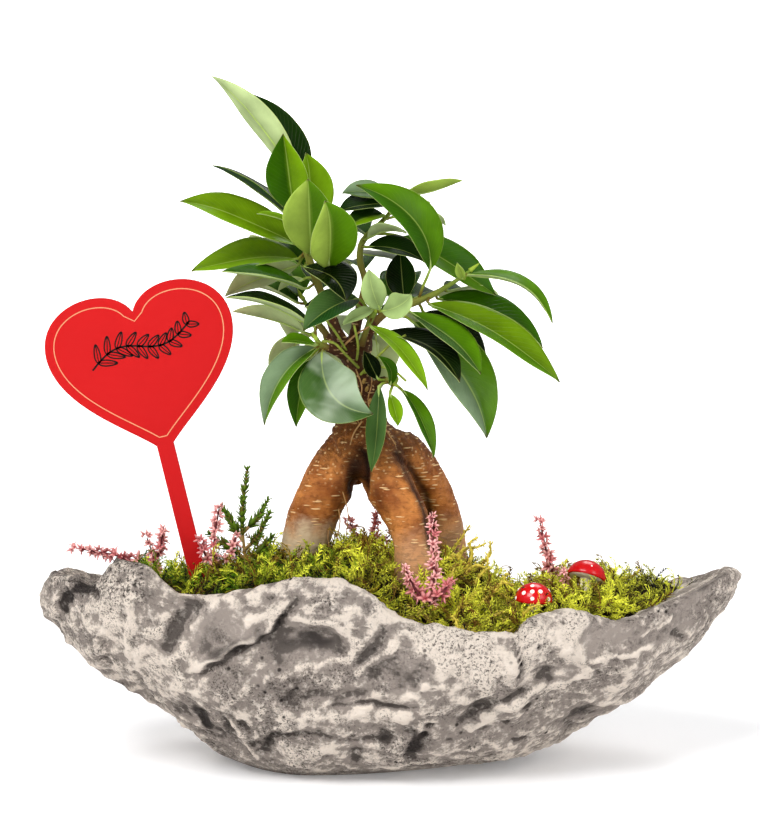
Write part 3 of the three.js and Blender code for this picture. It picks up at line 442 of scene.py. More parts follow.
class NodeMaker:
    """Adds nodes to a tree."""

    EASING = "LINEAR"

    def __init__(self, tree: bpy.types.NodeTree) -> None:
        """Keeps the tree."""
        self.tree = tree

    def feed(self, socket: bpy.types.NodeSocket, value: object) -> None:
        """Links a result to a socket, or sets the socket to a plain value."""
        if isinstance(value, Value):
            self.tree.links.new(value.socket, socket)
        else:
            socket.default_value = value

    def node(self, kind: str, inputs: dict[str | int, object], **settings: object) -> bpy.types.Node:
        """Adds a node.

        Args:
            kind: The node's type name.
            inputs: Results or plain values for its inputs.
            settings: Its options.

        Returns:
            The node.
        """
        made = self.tree.nodes.new(kind)
        for key, value in settings.items():
            setattr(made, key, value)
        for key, value in inputs.items():
            self.feed(made.inputs[key], value)
        return made

    def out(self, kind: str, inputs: dict, output: str | int = 0, **settings: object) -> Value:
        """Adds a node and gives one of its results, the first unless another is named."""
        return Value(self, self.node(kind, inputs, **settings).outputs[output])

    def math(self, operation: str, first: Value | float, second: Value | float = 0.0) -> Value:
        """Two numbers combined."""
        return self.out("ShaderNodeMath", {0: first, 1: second}, operation=operation)

    def span(self, source: Value, low: float, high: float, to_low: float = 0, to_high: float = 1) -> Value:
        """A change from one number to another while the source goes from low to high."""
        inputs = {"Value": source, "From Min": low, "From Max": high, "To Min": to_low, "To Max": to_high}
        return self.out("ShaderNodeMapRange", inputs, interpolation_type=self.EASING)


class Sketch(NodeMaker):
    """Builds the nodes of one material."""

    EASING = "SMOOTHSTEP"

    def __init__(self, name: str, **settings: float | Colour) -> None:
        """Starts a material with its shader.

        Args:
            name: The material's name.
            settings: Values of the shader's own sockets, with _ for spaces.
        """
        self.material = bpy.data.materials.new(name)
        self.material.use_nodes = True
        super().__init__(self.material.node_tree)
        self.shader = self.tree.nodes["Principled BSDF"]
        self.wire(**settings)
        self.spot = self.out("ShaderNodeTexCoord", {}, "Object")

    def stretched(self, *scale: float) -> Value:
        """Object coordinates, scaled differently along each axis."""
        return self.out("ShaderNodeMapping", {"Vector": self.spot, "Scale": scale})

    def noise(self, scale: float, detail: float = 4, rough: float = 0.55, spot: Value | None = None,
              warp: float = 0) -> Value:
        """Cloudy noise, its features about one metre over the scale wide."""
        inputs = {"Vector": spot or self.spot, "Scale": scale, "Detail": detail, "Roughness": rough}
        return self.out("ShaderNodeTexNoise", inputs | {"Distortion": warp}, "Fac")

    def cells(self, scale: float, spot: Value | None = None) -> Value:
        """The distance to scattered points, one metre over the scale apart."""
        return self.out("ShaderNodeTexVoronoi", {"Vector": spot or self.spot, "Scale": scale}, "Distance")

    def numbers(self, *names: str) -> list[Value]:
        """Numbers that the mesh carries."""
        return [self.out("ShaderNodeAttribute", {}, "Fac", attribute_name=name) for name in names]

    def tint(self) -> Value:
        """The colour that the mesh carries."""
        return self.out("ShaderNodeAttribute", {}, "Color", attribute_name="tint")

    def blend(self, share: Value | float, first: Value | Triple, second: Value | Triple) -> Value:
        """Two colours mixed by a share; plain ones are display colours, 0 to 255."""
        a, b = (value if isinstance(value, Value) else linear(*value) for value in (first, second))
        return self.out("ShaderNodeMix", {0: share, 6: a, 7: b}, 2, data_type="RGBA")

    def bump(self, height: Value, distance: float, strength: float = 1.0) -> Value:
        """A relief of a height map, whose full height is the distance in metres."""
        return self.out("ShaderNodeBump", {"Height": height, "Distance": distance, "Strength": strength})

    def wire(self, **sources: object) -> Material:
        """Links or sets the shader's sockets, with _ for spaces, and gives the material."""
        for key, source in sources.items():
            self.feed(self.shader.inputs[key.replace("_", " ")], source)
        return self.material


@dataclass(frozen=True)
class StoneFinish:
    """Cast stone: pale chalky edges, partly painted highlight, warm grey hollows darkened with painted shade,
    dark grit and pores.
    """

    cream: Triple = (218, 205, 191)
    dust: Triple = (230, 219, 206)
    grey: Triple = (140, 130, 122)
    slate: Triple = (88, 81, 76)
    pore_and_hollow_shade: Triple = (42, 37, 36)

    def material(self) -> Material:
        """Builds the material; it reads the mesh's curvature, smooth and shade numbers. The curvature makes
        ridges pale, chalky wear and painted highlight, and hollows dark, painted shade.
        """
        sketch = Sketch("stone", Specular_IOR_Level=0.18)
        wear_and_hollow_shade, smooth, shade = sketch.numbers("wear_and_hollow_shade", "smooth", "shade")
        uneven = 1.0 - smooth * 0.8
        broad = sketch.noise(34, 5, 0.6)
        middle = sketch.noise(135, 9, 0.72, sketch.stretched(0.6, 0.85, 1.25), warp=0.8)
        fine = sketch.noise(520, 6, 0.72)
        # Ridges pale, partly chalky wear and partly painted highlight; hollows dark, painted shade.
        chalk_and_shade = wear_and_hollow_shade * 0.9 + broad * 0.55 + middle * uneven + fine * (uneven * 0.8)
        # The marks' shade: painted shade and darker stone; below its middle, painted light and paler stone.
        chalk_and_shade = chalk_and_shade - shade * ((middle * 0.9 + 0.42) * 0.95) + smooth * 0.72
        colour = sketch.blend(sketch.span(chalk_and_shade, 0.74, 1.0), self.slate, self.grey)
        colour = sketch.blend(sketch.span(chalk_and_shade, 1.1, 1.42), colour, self.cream)
        dusty = sketch.span(sketch.noise(260, 5, 0.6), 0.52, 0.72, 0, 0.5)
        colour = sketch.blend(dusty * uneven, colour, self.dust)
        # The darkest marks, in the cracks, the pits and the hollow at the left end, take the pore colour as
        # painted shade.
        colour = sketch.blend(sketch.span(shade, 0.86, 1.0, 0, 0.7), colour, self.pore_and_hollow_shade)
        zone = sketch.span(sketch.noise(52, 4, 0.6, warp=0.4), 0.4, 0.6) * uneven
        grains = 1.0 - sketch.span(sketch.noise(1000, 3, 0.75), 0.37, 0.45)
        freckles = 1.0 - sketch.span(sketch.noise(460, 4, 0.75), 0.36, 0.43)
        specks = sketch.math("MAXIMUM", grains, freckles) * zone
        left_end = sketch.span(sketch.spot.axis("X"), -0.122, -0.112, 1, 0)
        top = left_end * sketch.span(sketch.spot.axis("Z"), 0.084, 0.096)
        crumbs = 1.0 - sketch.span(sketch.noise(560, 5, 0.8), 0.44, 0.49)
        specks = sketch.math("MAXIMUM", specks, crumbs * top)
        colour = sketch.blend(specks * 0.85, colour, self.pore_and_hollow_shade)
        pits = 1.0 - sketch.span(sketch.cells(140), 0.07, 0.19)
        pits = pits * sketch.span(sketch.noise(26, 2), 0.5, 0.6) * uneven
        colour = sketch.blend(pits, colour, self.pore_and_hollow_shade)
        relief = middle * uneven + fine * (uneven * 0.55) - pits * 0.6 - specks * 0.3
        rough = sketch.span(smooth, 0, 1, 0.9, 0.55)
        return sketch.wire(Base_Color=colour, Roughness=rough, Normal=sketch.bump(relief, 0.0022, 0.9))


@dataclass(frozen=True)
class GroundFinish:
    """Dark crumbs of two colours: potting soil, or the moss bed under its fronds."""

    name: str
    dark: Triple
    light: Triple
    grain: Triple
    rough: float = 0.8
    gloss: float = 0.1
    low: float = 0.35

    def material(self) -> Material:
        """Builds the material."""
        sketch = Sketch(self.name, Roughness=self.rough, Specular_IOR_Level=self.gloss)
        crumbs = sketch.noise(*self.grain)
        colour = sketch.blend(sketch.span(crumbs, self.low, 0.65), self.dark, self.light)
        return sketch.wire(Base_Color=colour, Normal=sketch.bump(crumbs, 0.002))


@dataclass(frozen=True)
class MossFinish:
    """Moss: green and gold on its tufts and bright at the tips, their tops lighter as painted light, and dark
    brown low in the fronds and in the gaps between the tufts as painted shade.
    """

    name: str
    green: Triple = (98, 150, 4)
    gold: Triple = (186, 148, 22)
    tip: Triple = (250, 252, 76)
    gap: Triple = (12, 6, 0)
    dead: Triple = (84, 60, 12)
    straw: Triple = (112, 62, 20)

    def material(self) -> Material:
        """Builds the fronds' material; it reads tone, rise and tuft from the mesh."""
        sketch = Sketch(self.name, Roughness=0.7, Specular_IOR_Level=0.25)
        tone, rise, tuft = sketch.numbers("tone", "rise", "tuft")
        across = sketch.spot.axis("X")
        patches = sketch.span(sketch.noise(46, 3), 0.42, 0.58)
        colour = sketch.blend(patches * sketch.span(across, -0.07, 0.02, 0.2, 1.0), self.green, self.gold)
        # Painted light: lighter on the tuft tops, and lighter towards the right.
        lit = tone * 0.6 + tuft * 0.5 + sketch.span(across, -0.07, 0.06, -0.16, 0.38)
        colour = sketch.blend(sketch.span(lit, 0.36, 0.8), colour, self.tip)
        dead = sketch.span(sketch.noise(62, 2), 0.56, 0.66, 0.0, 0.75)
        colour = sketch.blend(dead * sketch.span(tone, 0.75, 0.9, 1.0, 0.0), colour, self.dead)
        colour = sketch.blend(sketch.span(tone, 0.86, 0.92) * 0.9, colour, self.straw)
        # Painted shade: dark brown low in the fronds and between the tufts.
        deep = sketch.span(rise * 0.65 + tuft * 0.8, 0.46, 0.92, 1.0, 0.0)
        return sketch.wire(Base_Color=sketch.blend(deep, colour, self.gap))


@dataclass(frozen=True)
class BarkFinish:
    """Smooth root bark: orange-brown, pale lenticels, grey feet, a dark scaly neck, and painted shade in the
    creases.
    """

    def material(self) -> Material:
        """Builds the material; it reads heights from the object's own coordinates, and the mesh's shade."""
        sketch = Sketch("bark", Specular_IOR_Level=0.25)
        across, height = sketch.spot.axis("X"), sketch.spot.axis("Z")
        broad = sketch.noise(60, 4)
        streaks = sketch.noise(330, 6, 0.66, sketch.stretched(0.8, 0.8, 1.3), warp=0.5)
        rings = sketch.noise(260, 5, 0.62, sketch.stretched(0.45, 0.45, 3.6), warp=0.8)
        colour = sketch.blend(sketch.span(broad, 0.36, 0.64), (128, 68, 22), (188, 119, 58))
        colour = sketch.blend(sketch.span(streaks, 0.44, 0.7, 0, 0.7), colour, (104, 58, 20))
        colour = sketch.blend(sketch.span(rings, 0.54, 0.7, 0, 0.55), colour, (100, 56, 22))
        foot = sketch.span(height + broad * 0.02 + streaks * 0.014, 0.128, 0.144, 0.9, 0)
        colour = sketch.blend(foot * sketch.span(across, -0.03, -0.01, 1, 0.3), colour, (206, 184, 150))
        # Darker towards the bottom.
        darkening_at_bottom = sketch.span(height + streaks * 0.02, 0.098, 0.110, 0.8, 0)
        colour = sketch.blend(darkening_at_bottom, colour, (92, 66, 30))
        crown = sketch.span(height + streaks * 0.024, 0.156, 0.176)
        blotch = sketch.span(sketch.noise(300, 5, 0.7), 0.4, 0.56)
        colour = sketch.blend(crown * (blotch * 0.75 + 0.25), colour, (108, 64, 28))
        colour = sketch.blend(sketch.span(height, 0.174, 0.188) * 0.7, colour, (60, 40, 30))
        slots = sketch.cells(165, sketch.stretched(0.62, 0.62, 4.4))
        dashes = (1.0 - sketch.span(slots, 0.2, 0.31)) * sketch.span(sketch.noise(130, 3), 0.44, 0.52)
        dots = (1.0 - sketch.span(sketch.cells(330), 0.14, 0.26)) * sketch.span(height, 0.132, 0.160)
        marks = sketch.math("MAXIMUM", dashes, dots * 0.7)
        colour = sketch.blend(marks * 0.85, colour, (232, 192, 136))
        # Painted shade in the creases between the legs.
        colour = sketch.blend(*sketch.numbers("shade"), colour, (42, 20, 6))
        relief = streaks * 0.6 + marks * 0.4 - rings * 0.35 + blotch * (crown * 0.6)
        rough = sketch.span(streaks, 0.3, 0.7, 0.42, 0.65)
        return sketch.wire(Base_Color=colour, Roughness=rough, Normal=sketch.bump(relief, 0.0011, 0.9))


class Tone(Enum):
    """Display colours that a half of a blade, or a blade's underside, can have: the leaves' own greens and,
    with them, painted light and shade. DEEP and DARK are painted shade, LIME and FRESH partly painted light
    through the blade, and SILVER, SAGE, TEAL and LILAC painted sheen.
    """

    DEEP = (10, 20, 4)
    DARK = (22, 44, 6)
    MID = (52, 92, 6)
    OLIVE = (98, 130, 18)
    GREEN = (80, 122, 14)
    FRESH = (116, 156, 22)
    LIME = (150, 176, 72)
    PALE = (176, 194, 134)
    YOUNG = (164, 188, 118)
    SILVER = (116, 138, 104)
    SAGE = (66, 94, 46)
    TEAL = (32, 66, 26)
    LILAC = (186, 188, 184)


@dataclass(frozen=True)
class LeafFinish:
    """A glossy leaf with a pale midrib, fine side veins, a matt underside and blotches of painted highlight on
    its upper side.
    """

    name: str
    rough_above: float = 0.24
    rough_below: float = 0.42

    def material(self) -> Material:
        """Builds the material; it reads along, across, upper, the painted highlight's strength and the tint
        from the mesh.
        """
        sketch = Sketch(self.name, Specular_IOR_Level=0.08)
        along, across, upper, painted_gloss = sketch.numbers("along", "across", "upper", "painted_gloss")
        side = sketch.math("ABSOLUTE", across)
        phase = along * 17.0 - side * 4.2 + sketch.noise(90, 2) * 0.8
        wave = sketch.math("ABSOLUTE", sketch.math("FRACT", phase) - 0.5)
        vein = sketch.span(wave, 0.0, 0.11, 1, 0)
        cloud = sketch.span(sketch.noise(60, 4), 0.3, 0.7, 0.0, 0.3)
        colour = sketch.blend(cloud, sketch.tint(), (30, 52, 12))
        colour = sketch.blend(sketch.span(side, 0.0, 0.8, 0.3, 0.0), colour, (18, 34, 8))
        lit = sketch.blend(0.5, sketch.tint(), (196, 212, 110))
        colour = sketch.blend(vein * 0.04, colour, lit)
        colour = sketch.blend(sketch.span(side, 0.012, 0.05, 1, 0) * 0.4, colour, lit)
        # Painted highlight: whitish blotches on the upper side.
        blotch = sketch.span(sketch.noise(55, 2, 0.5, warp=0.5), 0.38, 0.74)
        colour = sketch.blend(painted_gloss * (blotch * upper), colour, (204, 216, 192))
        colour = sketch.blend(sketch.span(side, 0.95, 1.0, 0, 0.6), colour, lit)
        relief = vein * -0.35 + sketch.noise(700, 3) * 0.25
        rough = sketch.span(upper, 0, 1, self.rough_below, self.rough_above)
        return sketch.wire(Base_Color=colour, Roughness=rough, Normal=sketch.bump(relief, 0.0003, 0.6))


@dataclass(frozen=True)
class TintFinish:
    """A plain small finish that takes its colour from the mesh, with grain."""

    name: str
    rough: float
    grain: float
    depth: float = 0.0003
    dark: float = 0.35

    def material(self) -> Material:
        """Builds the material; it reads the mesh's tint."""
        sketch = Sketch(self.name, Roughness=self.rough, Specular_IOR_Level=0.35)
        speckle = sketch.noise(self.grain, 4)
        colour = sketch.blend(sketch.span(speckle, 0.4, 0.7, 0, self.dark), sketch.tint(), (40, 34, 24))
        return sketch.wire(Base_Color=colour, Normal=sketch.bump(speckle, self.depth))


@dataclass(frozen=True)
class SprigFinish:
    """Small matt leaves that fade from a base colour to lighter tips, each a little different."""

    name: str
    foot: Triple
    tip: Triple
    odd: Triple

    def material(self) -> Material:
        """Builds the material; it reads tone and rise from the mesh."""
        sketch = Sketch(self.name, Roughness=0.65, Specular_IOR_Level=0.3)
        rise, tone = sketch.numbers("rise", "tone")
        colour = sketch.blend(sketch.span(rise, 0.0, 0.75), self.foot, self.tip)
        colour = sketch.blend(sketch.span(tone, 0.45, 1.0, 0, 0.7), colour, self.odd)
        return sketch.wire(Base_Color=colour, Normal=sketch.bump(sketch.noise(900, 3), 0.0002))


@dataclass(frozen=True)
class PaintFinish:
    """Red paint on thin board: even, faintly brushed, a little worn."""

    name: str
    colour: Triple
    shade: Triple
    rough: float
    gloss: float = 0.3

    def material(self) -> Material:
        """Builds the material."""
        sketch = Sketch(self.name, Specular_IOR_Level=self.gloss)
        brushed = sketch.noise(240, 4, 0.6, sketch.stretched(0.25, 1, 1))
        cloud = sketch.span(sketch.noise(18, 3), 0.3, 0.75, 0, 0.5)
        rough = sketch.span(brushed, 0.3, 0.7, self.rough, self.rough + 0.12)
        return sketch.wire(Base_Color=sketch.blend(cloud, self.colour, self.shade), Roughness=rough,
                           Normal=sketch.bump(brushed, 0.00012, 0.6))


@dataclass(frozen=True)
class Stroke:
    """A mark on the stone's front, drawn through places across and up in the front view.

    out raises it, step raises the side on its left and lowers the other, and smooth sets its finish. shade
    paints it darker, as painted shade and on the stone also as stains; a negative shade paints it paler, as
    painted light and paler stone.
    """

    points: tuple[Pair, ...]
    width: float
    out: float = 0.0
    step: float = 0.0
    smooth: float = 0.0
    shade: float = 0.0
    crisp: float = 0.8
    depth: float = -62.0

    def near(self, x: np.ndarray, z: np.ndarray) -> tuple[np.ndarray, np.ndarray]:
        """How much each place belongs to the mark, and on which side of it each lies.

        Args:
            x: Places along the planter.
            z: Their heights.

        Returns:
            Shares from 0 to 1, and sides from -1 on the right to 1 on the left.
        """
        least, side = np.full(len(x), 1e9), np.zeros(len(x))
        ends = [EYE.place((across, up, self.depth)) for across, up in self.points]
        ends = ends * 2 if len(ends) == 1 else ends
        for a, b in zip(ends, ends[1:]):
            run = np.array([b.x - a.x, b.z - a.z])
            size = max(1e-6, float(run @ run))
            t = np.clip(((x - a.x) * run[0] + (z - a.z) * run[1]) / size, 0, 1)
            away = np.hypot(x - a.x - t * run[0], z - a.z - t * run[1])
            crossed = (run[0] * (z - a.z) - run[1] * (x - a.x)) / math.sqrt(size)
            side = np.where(away < least, np.tanh(crossed / self.crisp), side)
            least = np.minimum(least, away)
        return np.exp(-((least / self.width) ** 2)), side


@dataclass
class Planter:
    """The boat-shaped stone planter: hull, rim and cavity, one closed shell."""

    half_length: float = 176.5
    half_depth: float = 85.0
    floor: float = 24.0
    front_columns: int = 300
    back_columns: int = 150
    rises: int = 116
    relief_flank: float = 18.0
    # the cavity's mouth: left, right, half depth, and how far its ends are drawn to a point
    mouth: Triple = (138.0, 145.0, 66.0)
    mouth_point: float = 0.15
    # rings over the rim (inset, rise), then shares of the way to the cavity and down its wall
    crests: tuple[Pair, ...] = ((1.2, 1.1), (2.6, 1.9), (4, 2.2), (6, 1.9), (8, 1.2), (10, 0.5), (13, -0.8))
    ledges: tuple[float, ...] = (0.25, 0.5, 0.75)
    walls: tuple[float, ...] = (0, 0.06, 0.14, 0.25, 0.4, 0.55, 0.7, 0.85, 1)
    rim_front: tuple[Pair, ...] = (
        (-176, 84), (-168, 95), (-156, 96), (-147, 93), (-137, 106), (-121, 107), (-108, 96),
        (-102, 91.5), (-92, 92), (-72, 97.5), (-53, 101.5), (-28, 102.5), (-10, 97), (2, 87.5),
        (19, 81.5), (35, 80), (50, 77.5), (60, 76.5), (67, 84.5), (77, 86), (92, 84), (110, 80.5),
        (118, 80.5), (126, 83.5), (138, 87), (150, 91), (160, 94), (168, 97), (176, 93.7),
    )
    rim_back: tuple[Pair, ...] = (
        (-176, 84), (-168, 90.5), (-150, 85), (-120, 79), (-80, 80), (-40, 84), (0, 83), (30, 78),
        (60, 69), (80, 70), (100, 73), (130, 78), (145, 81.5), (160, 88), (168, 92.5), (176, 93.7),
    )
    # height share, left, right, half depth, middle, point
    levels: tuple[tuple[float, ...], ...] = (
        (0, 84, 62, 39, -40, 1), (0.05, 91, 77, 47, -28, 0.35), (0.13, 98, 91, 57, -20, 0.15),
        (0.28, 115, 106, 68.5, -12, 0.08), (0.46, 141, 127.5, 77, -6, 0.1),
        (0.64, 161, 151.5, 82, -3, 0.15), (0.82, 174, 169.5, 85, 0, 0.2),
        (0.93, 176, 174.5, 84.5, 0, 0.24), (1, 176.5, 176.5, 82, 0, 0.25),
    )
    # height, left, right, half depth, point
    cavity: tuple[tuple[float, ...], ...] = (
        (24, 78, 80, 42, 0), (40, 104, 104, 54, 0.04), (58, 122, 124, 61, 0.1),
        (75, 132, 138, 64.5, 0.15), (92, 138, 145, 66, 0.15), (150, 138, 145, 66, 0.15),
    )
    # across, height share, side, size across, size up, out
    bosses: tuple[tuple[float, ...], ...] = (
        (-157, 0.84, -1, 7, 0.09, -5), (-128, 0.85, -1, 14, 0.2, 4), (-98, 0.8, -1, 16, 0.22, -5),
        (-82, 0.5, -1, 26, 0.12, 3.5), (-45, 0.66, -1, 24, 0.16, -4.5), (-40, 0.32, -1, 30, 0.1, 3),
        (-8, 0.5, -1, 16, 0.14, -3.5), (18, 0.75, -1, 14, 0.14, 3.5), (40, 0.42, -1, 24, 0.16, -4),
        (66, 0.85, -1, 8, 0.2, 3), (84, 0.5, -1, 20, 0.16, -3), (115, 0.72, -1, 18, 0.14, 3),
        (140, 0.62, -1, 12, 0.12, -3), (-110, 0.6, 1, 22, 0.2, -4), (-66, 0.72, 1, 20, 0.14, 3.5),
        (-30, 0.45, 1, 24, 0.16, -4.5), (12, 0.7, 1, 22, 0.16, -3), (40, 0.4, 1, 20, 0.14, 3.5),
        (82, 0.62, 1, 22, 0.18, -4), (120, 0.75, 1, 16, 0.16, 3),
    )
    # Marks on the front. A positive shade is painted shade in the hollow at the left end, the cracks and pits,
    # under the humps and on the lower curve, together with darker stone; a negative shade is painted highlight
    # on ridges and paler stone.
    strokes: tuple[Stroke, ...] = (
        Stroke(((-163, 77), (-160.5, 83), (-158, 87)), 2.6, -1.8, shade=1.5, depth=-22),
        Stroke(((-159, 84), (-153, 88), (-148, 90)), 3.4, -1.6, shade=1.7, depth=-26),
        Stroke(((-137, 84), (-144, 70)), 13, shade=-0.7, depth=-50),
        Stroke(((-140, 55),), 12, shade=-0.3),
        Stroke(((-116, 42), (-108, 36)), 11, shade=-0.7),
        Stroke(((-88, 52),), 10, shade=-0.3),
        Stroke(((-14, 70), (10, 70)), 10, shade=-0.6),
        Stroke(((32, 56), (44, 50)), 12, shade=-0.6),
        Stroke(((84, 70), (92, 62)), 11, shade=-0.6),
        Stroke(((134, 68), (142, 72)), 9, shade=-0.4),
        Stroke(((-116, 80),), 7, shade=0.5),
        Stroke(((-38, 68),), 9, shade=0.3),
        Stroke(((8, 8), (18, 8)), 8, shade=0.6),
        Stroke(((-62, 8),), 8, shade=0.3),
        Stroke(((-147, 84), (-142, 90), (-137, 96)), 2.4, 0.8, shade=-0.34),
        Stroke(((-132, 82), (-131, 66), (-131, 48)), 1.8, 1.7, shade=-0.48),
        Stroke(((-147, 74), (-141, 79), (-134, 79)), 2.2, 1.3, shade=-0.41),
        Stroke(((-122, 88),), 12, 1.5, shade=0.35),
        Stroke(((-150, 56), (-138, 48)), 9, -1.4, shade=0.4),
        Stroke(((-100, 80), (-106, 68), (-112, 57)), 5, -3.8, smooth=0.7, shade=0.55),
        Stroke(((-99, 80), (-103, 62)), 1.6, step=-1.2),
        Stroke(((-91, 72), (-91, 60)), 8.5, -1.2, smooth=0.95, shade=0.3),
        Stroke(((-82, 73), (-72, 67), (-84, 58)), 8, smooth=0.7, shade=0.42),
        Stroke(((-52, 77), (-64.5, 62), (-76.5, 55.5), (-92, 47.5)), 7, step=-2.3, crisp=0.6),
        Stroke(((-55, 77), (-67, 64), (-79, 57), (-93, 50)), 3.4, smooth=0.7, shade=0.5),
        Stroke(((-52.5, 75), (-65.5, 61), (-77, 54.5)), 1.2, -2.2, shade=1.0),
        Stroke(((-60, 79), (-70, 70)), 3.5, 1.0, shade=-0.3),
        Stroke(((-54, 61.5), (-42, 62.5), (-30, 60)), 8.5, -3.4, smooth=1.0, shade=0.8),
        Stroke(((-52, 73), (-30, 72), (-16, 62), (-20, 52), (-45, 51)), 2.2, 0.9, shade=-0.48),
        Stroke(((1.5, 64), (-16.5, 47)), 1.7, 2.0, shade=-0.68, crisp=0.5),
        Stroke(((-4, 70), (-13, 55)), 2.6, -1.8, shade=0.6),
        Stroke(((-4, 54), (12, 47)), 13, -3.8, smooth=0.7, shade=0.62),
        Stroke(((-98, 50), (-72, 42), (-46, 40)), 13, shade=0.4),
        Stroke(((-52, 24), (-20, 26), (6, 22)), 12, shade=0.25),
        Stroke(((-104, 28), (-86, 14), (-70, 6)), 13, shade=0.4),
        Stroke(((30, 14), (60, 16), (90, 24)), 11, shade=0.28),
        Stroke(((104, 60), (140, 72), (165, 88)), 15, shade=0.32),
        Stroke(((-112, 34), (-90, 30)), 9, shade=-0.2),
        Stroke(((27, 56), (24, 42), (8, 37)), 4, 1.0, shade=-0.34),
        Stroke(((24, 70), (52, 62), (60, 48)), 13, 0.8, shade=-0.51),
        Stroke(((-51, 33), (-34, 34), (-17, 37)), 4, -2.2, smooth=0.5, shade=0.6),
        Stroke(((-26, 31), (-6, 31), (14, 30)), 1.3, -1.4, shade=0.5),
        Stroke(((-54, 24), (-20, 24), (8, 26)), 4, 1.5, shade=-0.48),
        Stroke(((-60, 15), (-42, 16), (-26, 13), (-2, 10)), 1.8, -1.2, shade=0.5),
        Stroke(((-50, 6), (-28, 8)), 5, 1.5, shade=-0.48),
        Stroke(((-104, 24), (-94, 17), (-84, 14)), 7, -2.0, smooth=0.4, shade=0.7),
        Stroke(((-98, 19), (-93, 12)), 1.5, -1.4, shade=0.8),
        Stroke(((-82, 19), (-73, 7), (-65, -1)), 1.6, 2.2, shade=-0.5),
        Stroke(((-74, 19), (-69, 7)), 2.2, -2.8, shade=0.9),
        Stroke(((-62, 10), (-57, 0)), 3.8, -2.2, shade=0.9),
        Stroke(((-17, 5), (-18, 0)), 4, -2.0, shade=0.7),
        Stroke(((-2, 14), (10, 17), (10, 3)), 5, -2.6, shade=0.6),
        Stroke(((34, 20), (50, 29), (64, 37.5), (88, 47)), 6, -1.6, step=-1.0, smooth=0.4, shade=0.25,
               crisp=2),
        Stroke(((36, 20.5), (51, 28.5), (65, 36.5), (80, 43)), 1.8, -1.8, shade=0.35),
        Stroke(((40, 17), (54, 25), (70, 34), (98, 45)), 2.8, 1.4, shade=-0.54),
        Stroke(((44, 27), (62, 41), (80, 47)), 4, -1.0, smooth=0.4, shade=0.25),
        Stroke(((64.5, 60), (68, 53), (66, 43)), 1.1, -1.8, step=0.8, shade=0.5),
        Stroke(((91, 64), (94, 54), (98, 46)), 1.6, 1.6, step=0.8, shade=-0.54),
        Stroke(((101, 65), (124, 62)), 8, -1.2, smooth=0.85, shade=0.25),
        Stroke(((100, 51), (126, 52), (132, 56)), 1.8, 1.2, shade=-0.61),
        Stroke(((129, 61), (136, 65), (143, 67)), 1.4, 1.4, step=0.9, shade=-0.54),
        Stroke(((132, 58), (142, 60)), 5, -0.8, smooth=0.8, shade=0.3),
        Stroke(((148, 66), (154, 76), (162, 86)), 7, -1.6, smooth=0.9, shade=0.4),
        Stroke(((144, 60), (150, 56)), 2.0, -1.6, shade=0.5),
        Stroke(((126, 74), (146, 84), (158, 92)), 2.2, 1.2, shade=-0.54),
        Stroke(((92, 13), (104, 20)), 6, -1.6, smooth=0.4, shade=0.7),
        Stroke(((17.5, 14),), 1.9, -2.6, shade=1.0),
        Stroke(((20, 19.5),), 1.6, -2.2, shade=1.0),
        Stroke(((30, 9.5),), 1.2, -1.6, shade=1.0),
        Stroke(((58, 18.5),), 1.4, -1.8, shade=1.0),
        Stroke(((64, 7), (67, 6)), 1.8, -2.2, shade=1.0),
        Stroke(((66, 26), (69, 27)), 1.6, -1.8, shade=1.0),
    )

    def __post_init__(self) -> None:
        """Makes smooth curves of the tables."""
        self.front = Chain(self.rim_front)
        self.back = Chain(self.rim_back)
        self.hull = [Chain([(row[0], row[k]) for row in self.levels]) for k in range(1, 6)]
        self.hollow = [Chain([(row[0], row[k]) for row in self.cavity]) for k in range(1, 5)]
        self.angles = [math.pi * (k / self.front_columns - 1) for k in range(self.front_columns)]
        self.angles += [math.pi * k / self.back_columns for k in range(self.back_columns)]

    def rim(self, x: float, y: float) -> float:
        """The rim's height over a place; the front and back rims meet in the middle."""
        share = ease(y, -5, 5)
        return float(self.front.at(x)) * (1 - share) + float(self.back.at(x)) * share

    @staticmethod
    def outline(left: float, right: float, half_depth: float, middle: float, point: float,
                angle: float) -> Pair:
        """A place on a boat outline.

        Args:
            left: Its reach to the left.
            right: Its reach to the right.
            half_depth: Half its width.
            middle: Where it is widest.
            point: How far its ends are drawn to a point.
            angle: The angle round it.

        Returns:
            The place along and across.
        """
        cosine, sine = math.cos(angle), math.sin(angle)
        reach = left + middle if cosine < 0 else right - middle
        return middle + cosine * reach, sine * abs(sine) ** point * half_depth

    def outer_ring(self, share: float) -> list[Vector]:
        """A ring of the hull at a share of the rim's height.

        Args:
            share: 0 at the base, 1 at the rim.

        Returns:
            The places round it.
        """
        left, right, half_depth, middle, point = (float(chain.at(share)) for chain in self.hull)
        ring = []
        for angle in self.angles:
            x, y = self.outline(left, right, half_depth, middle, point, angle)
            side = -1 if y < 0 else 1
            out = sum(
                high * math.exp(-(((x - at) / wide) ** 2) - ((share - level) / tall) ** 2)
                for at, level, face, wide, tall, high in self.bosses
                if face == side
            )
            out *= min(1.0, abs(y) / self.relief_flank)
            ring.append(Vector((x, y + side * out, share * self.rim(x, y))))
        return ring

    def crest_ring(self, inset: float, rise: float) -> list[Vector]:
        """A ring of the rim's top.

        Args:
            inset: How far in from the outside.
            rise: How far over the rim line.

        Returns:
            The places round it.
        """
        made = []
        for place in self.outer_ring(1):
            x = place.x * (1 - inset / self.half_length)
            y = place.y * (1 - inset / self.half_depth)
            made.append(Vector((x, y, self.rim(x, y) + rise)))
        return made

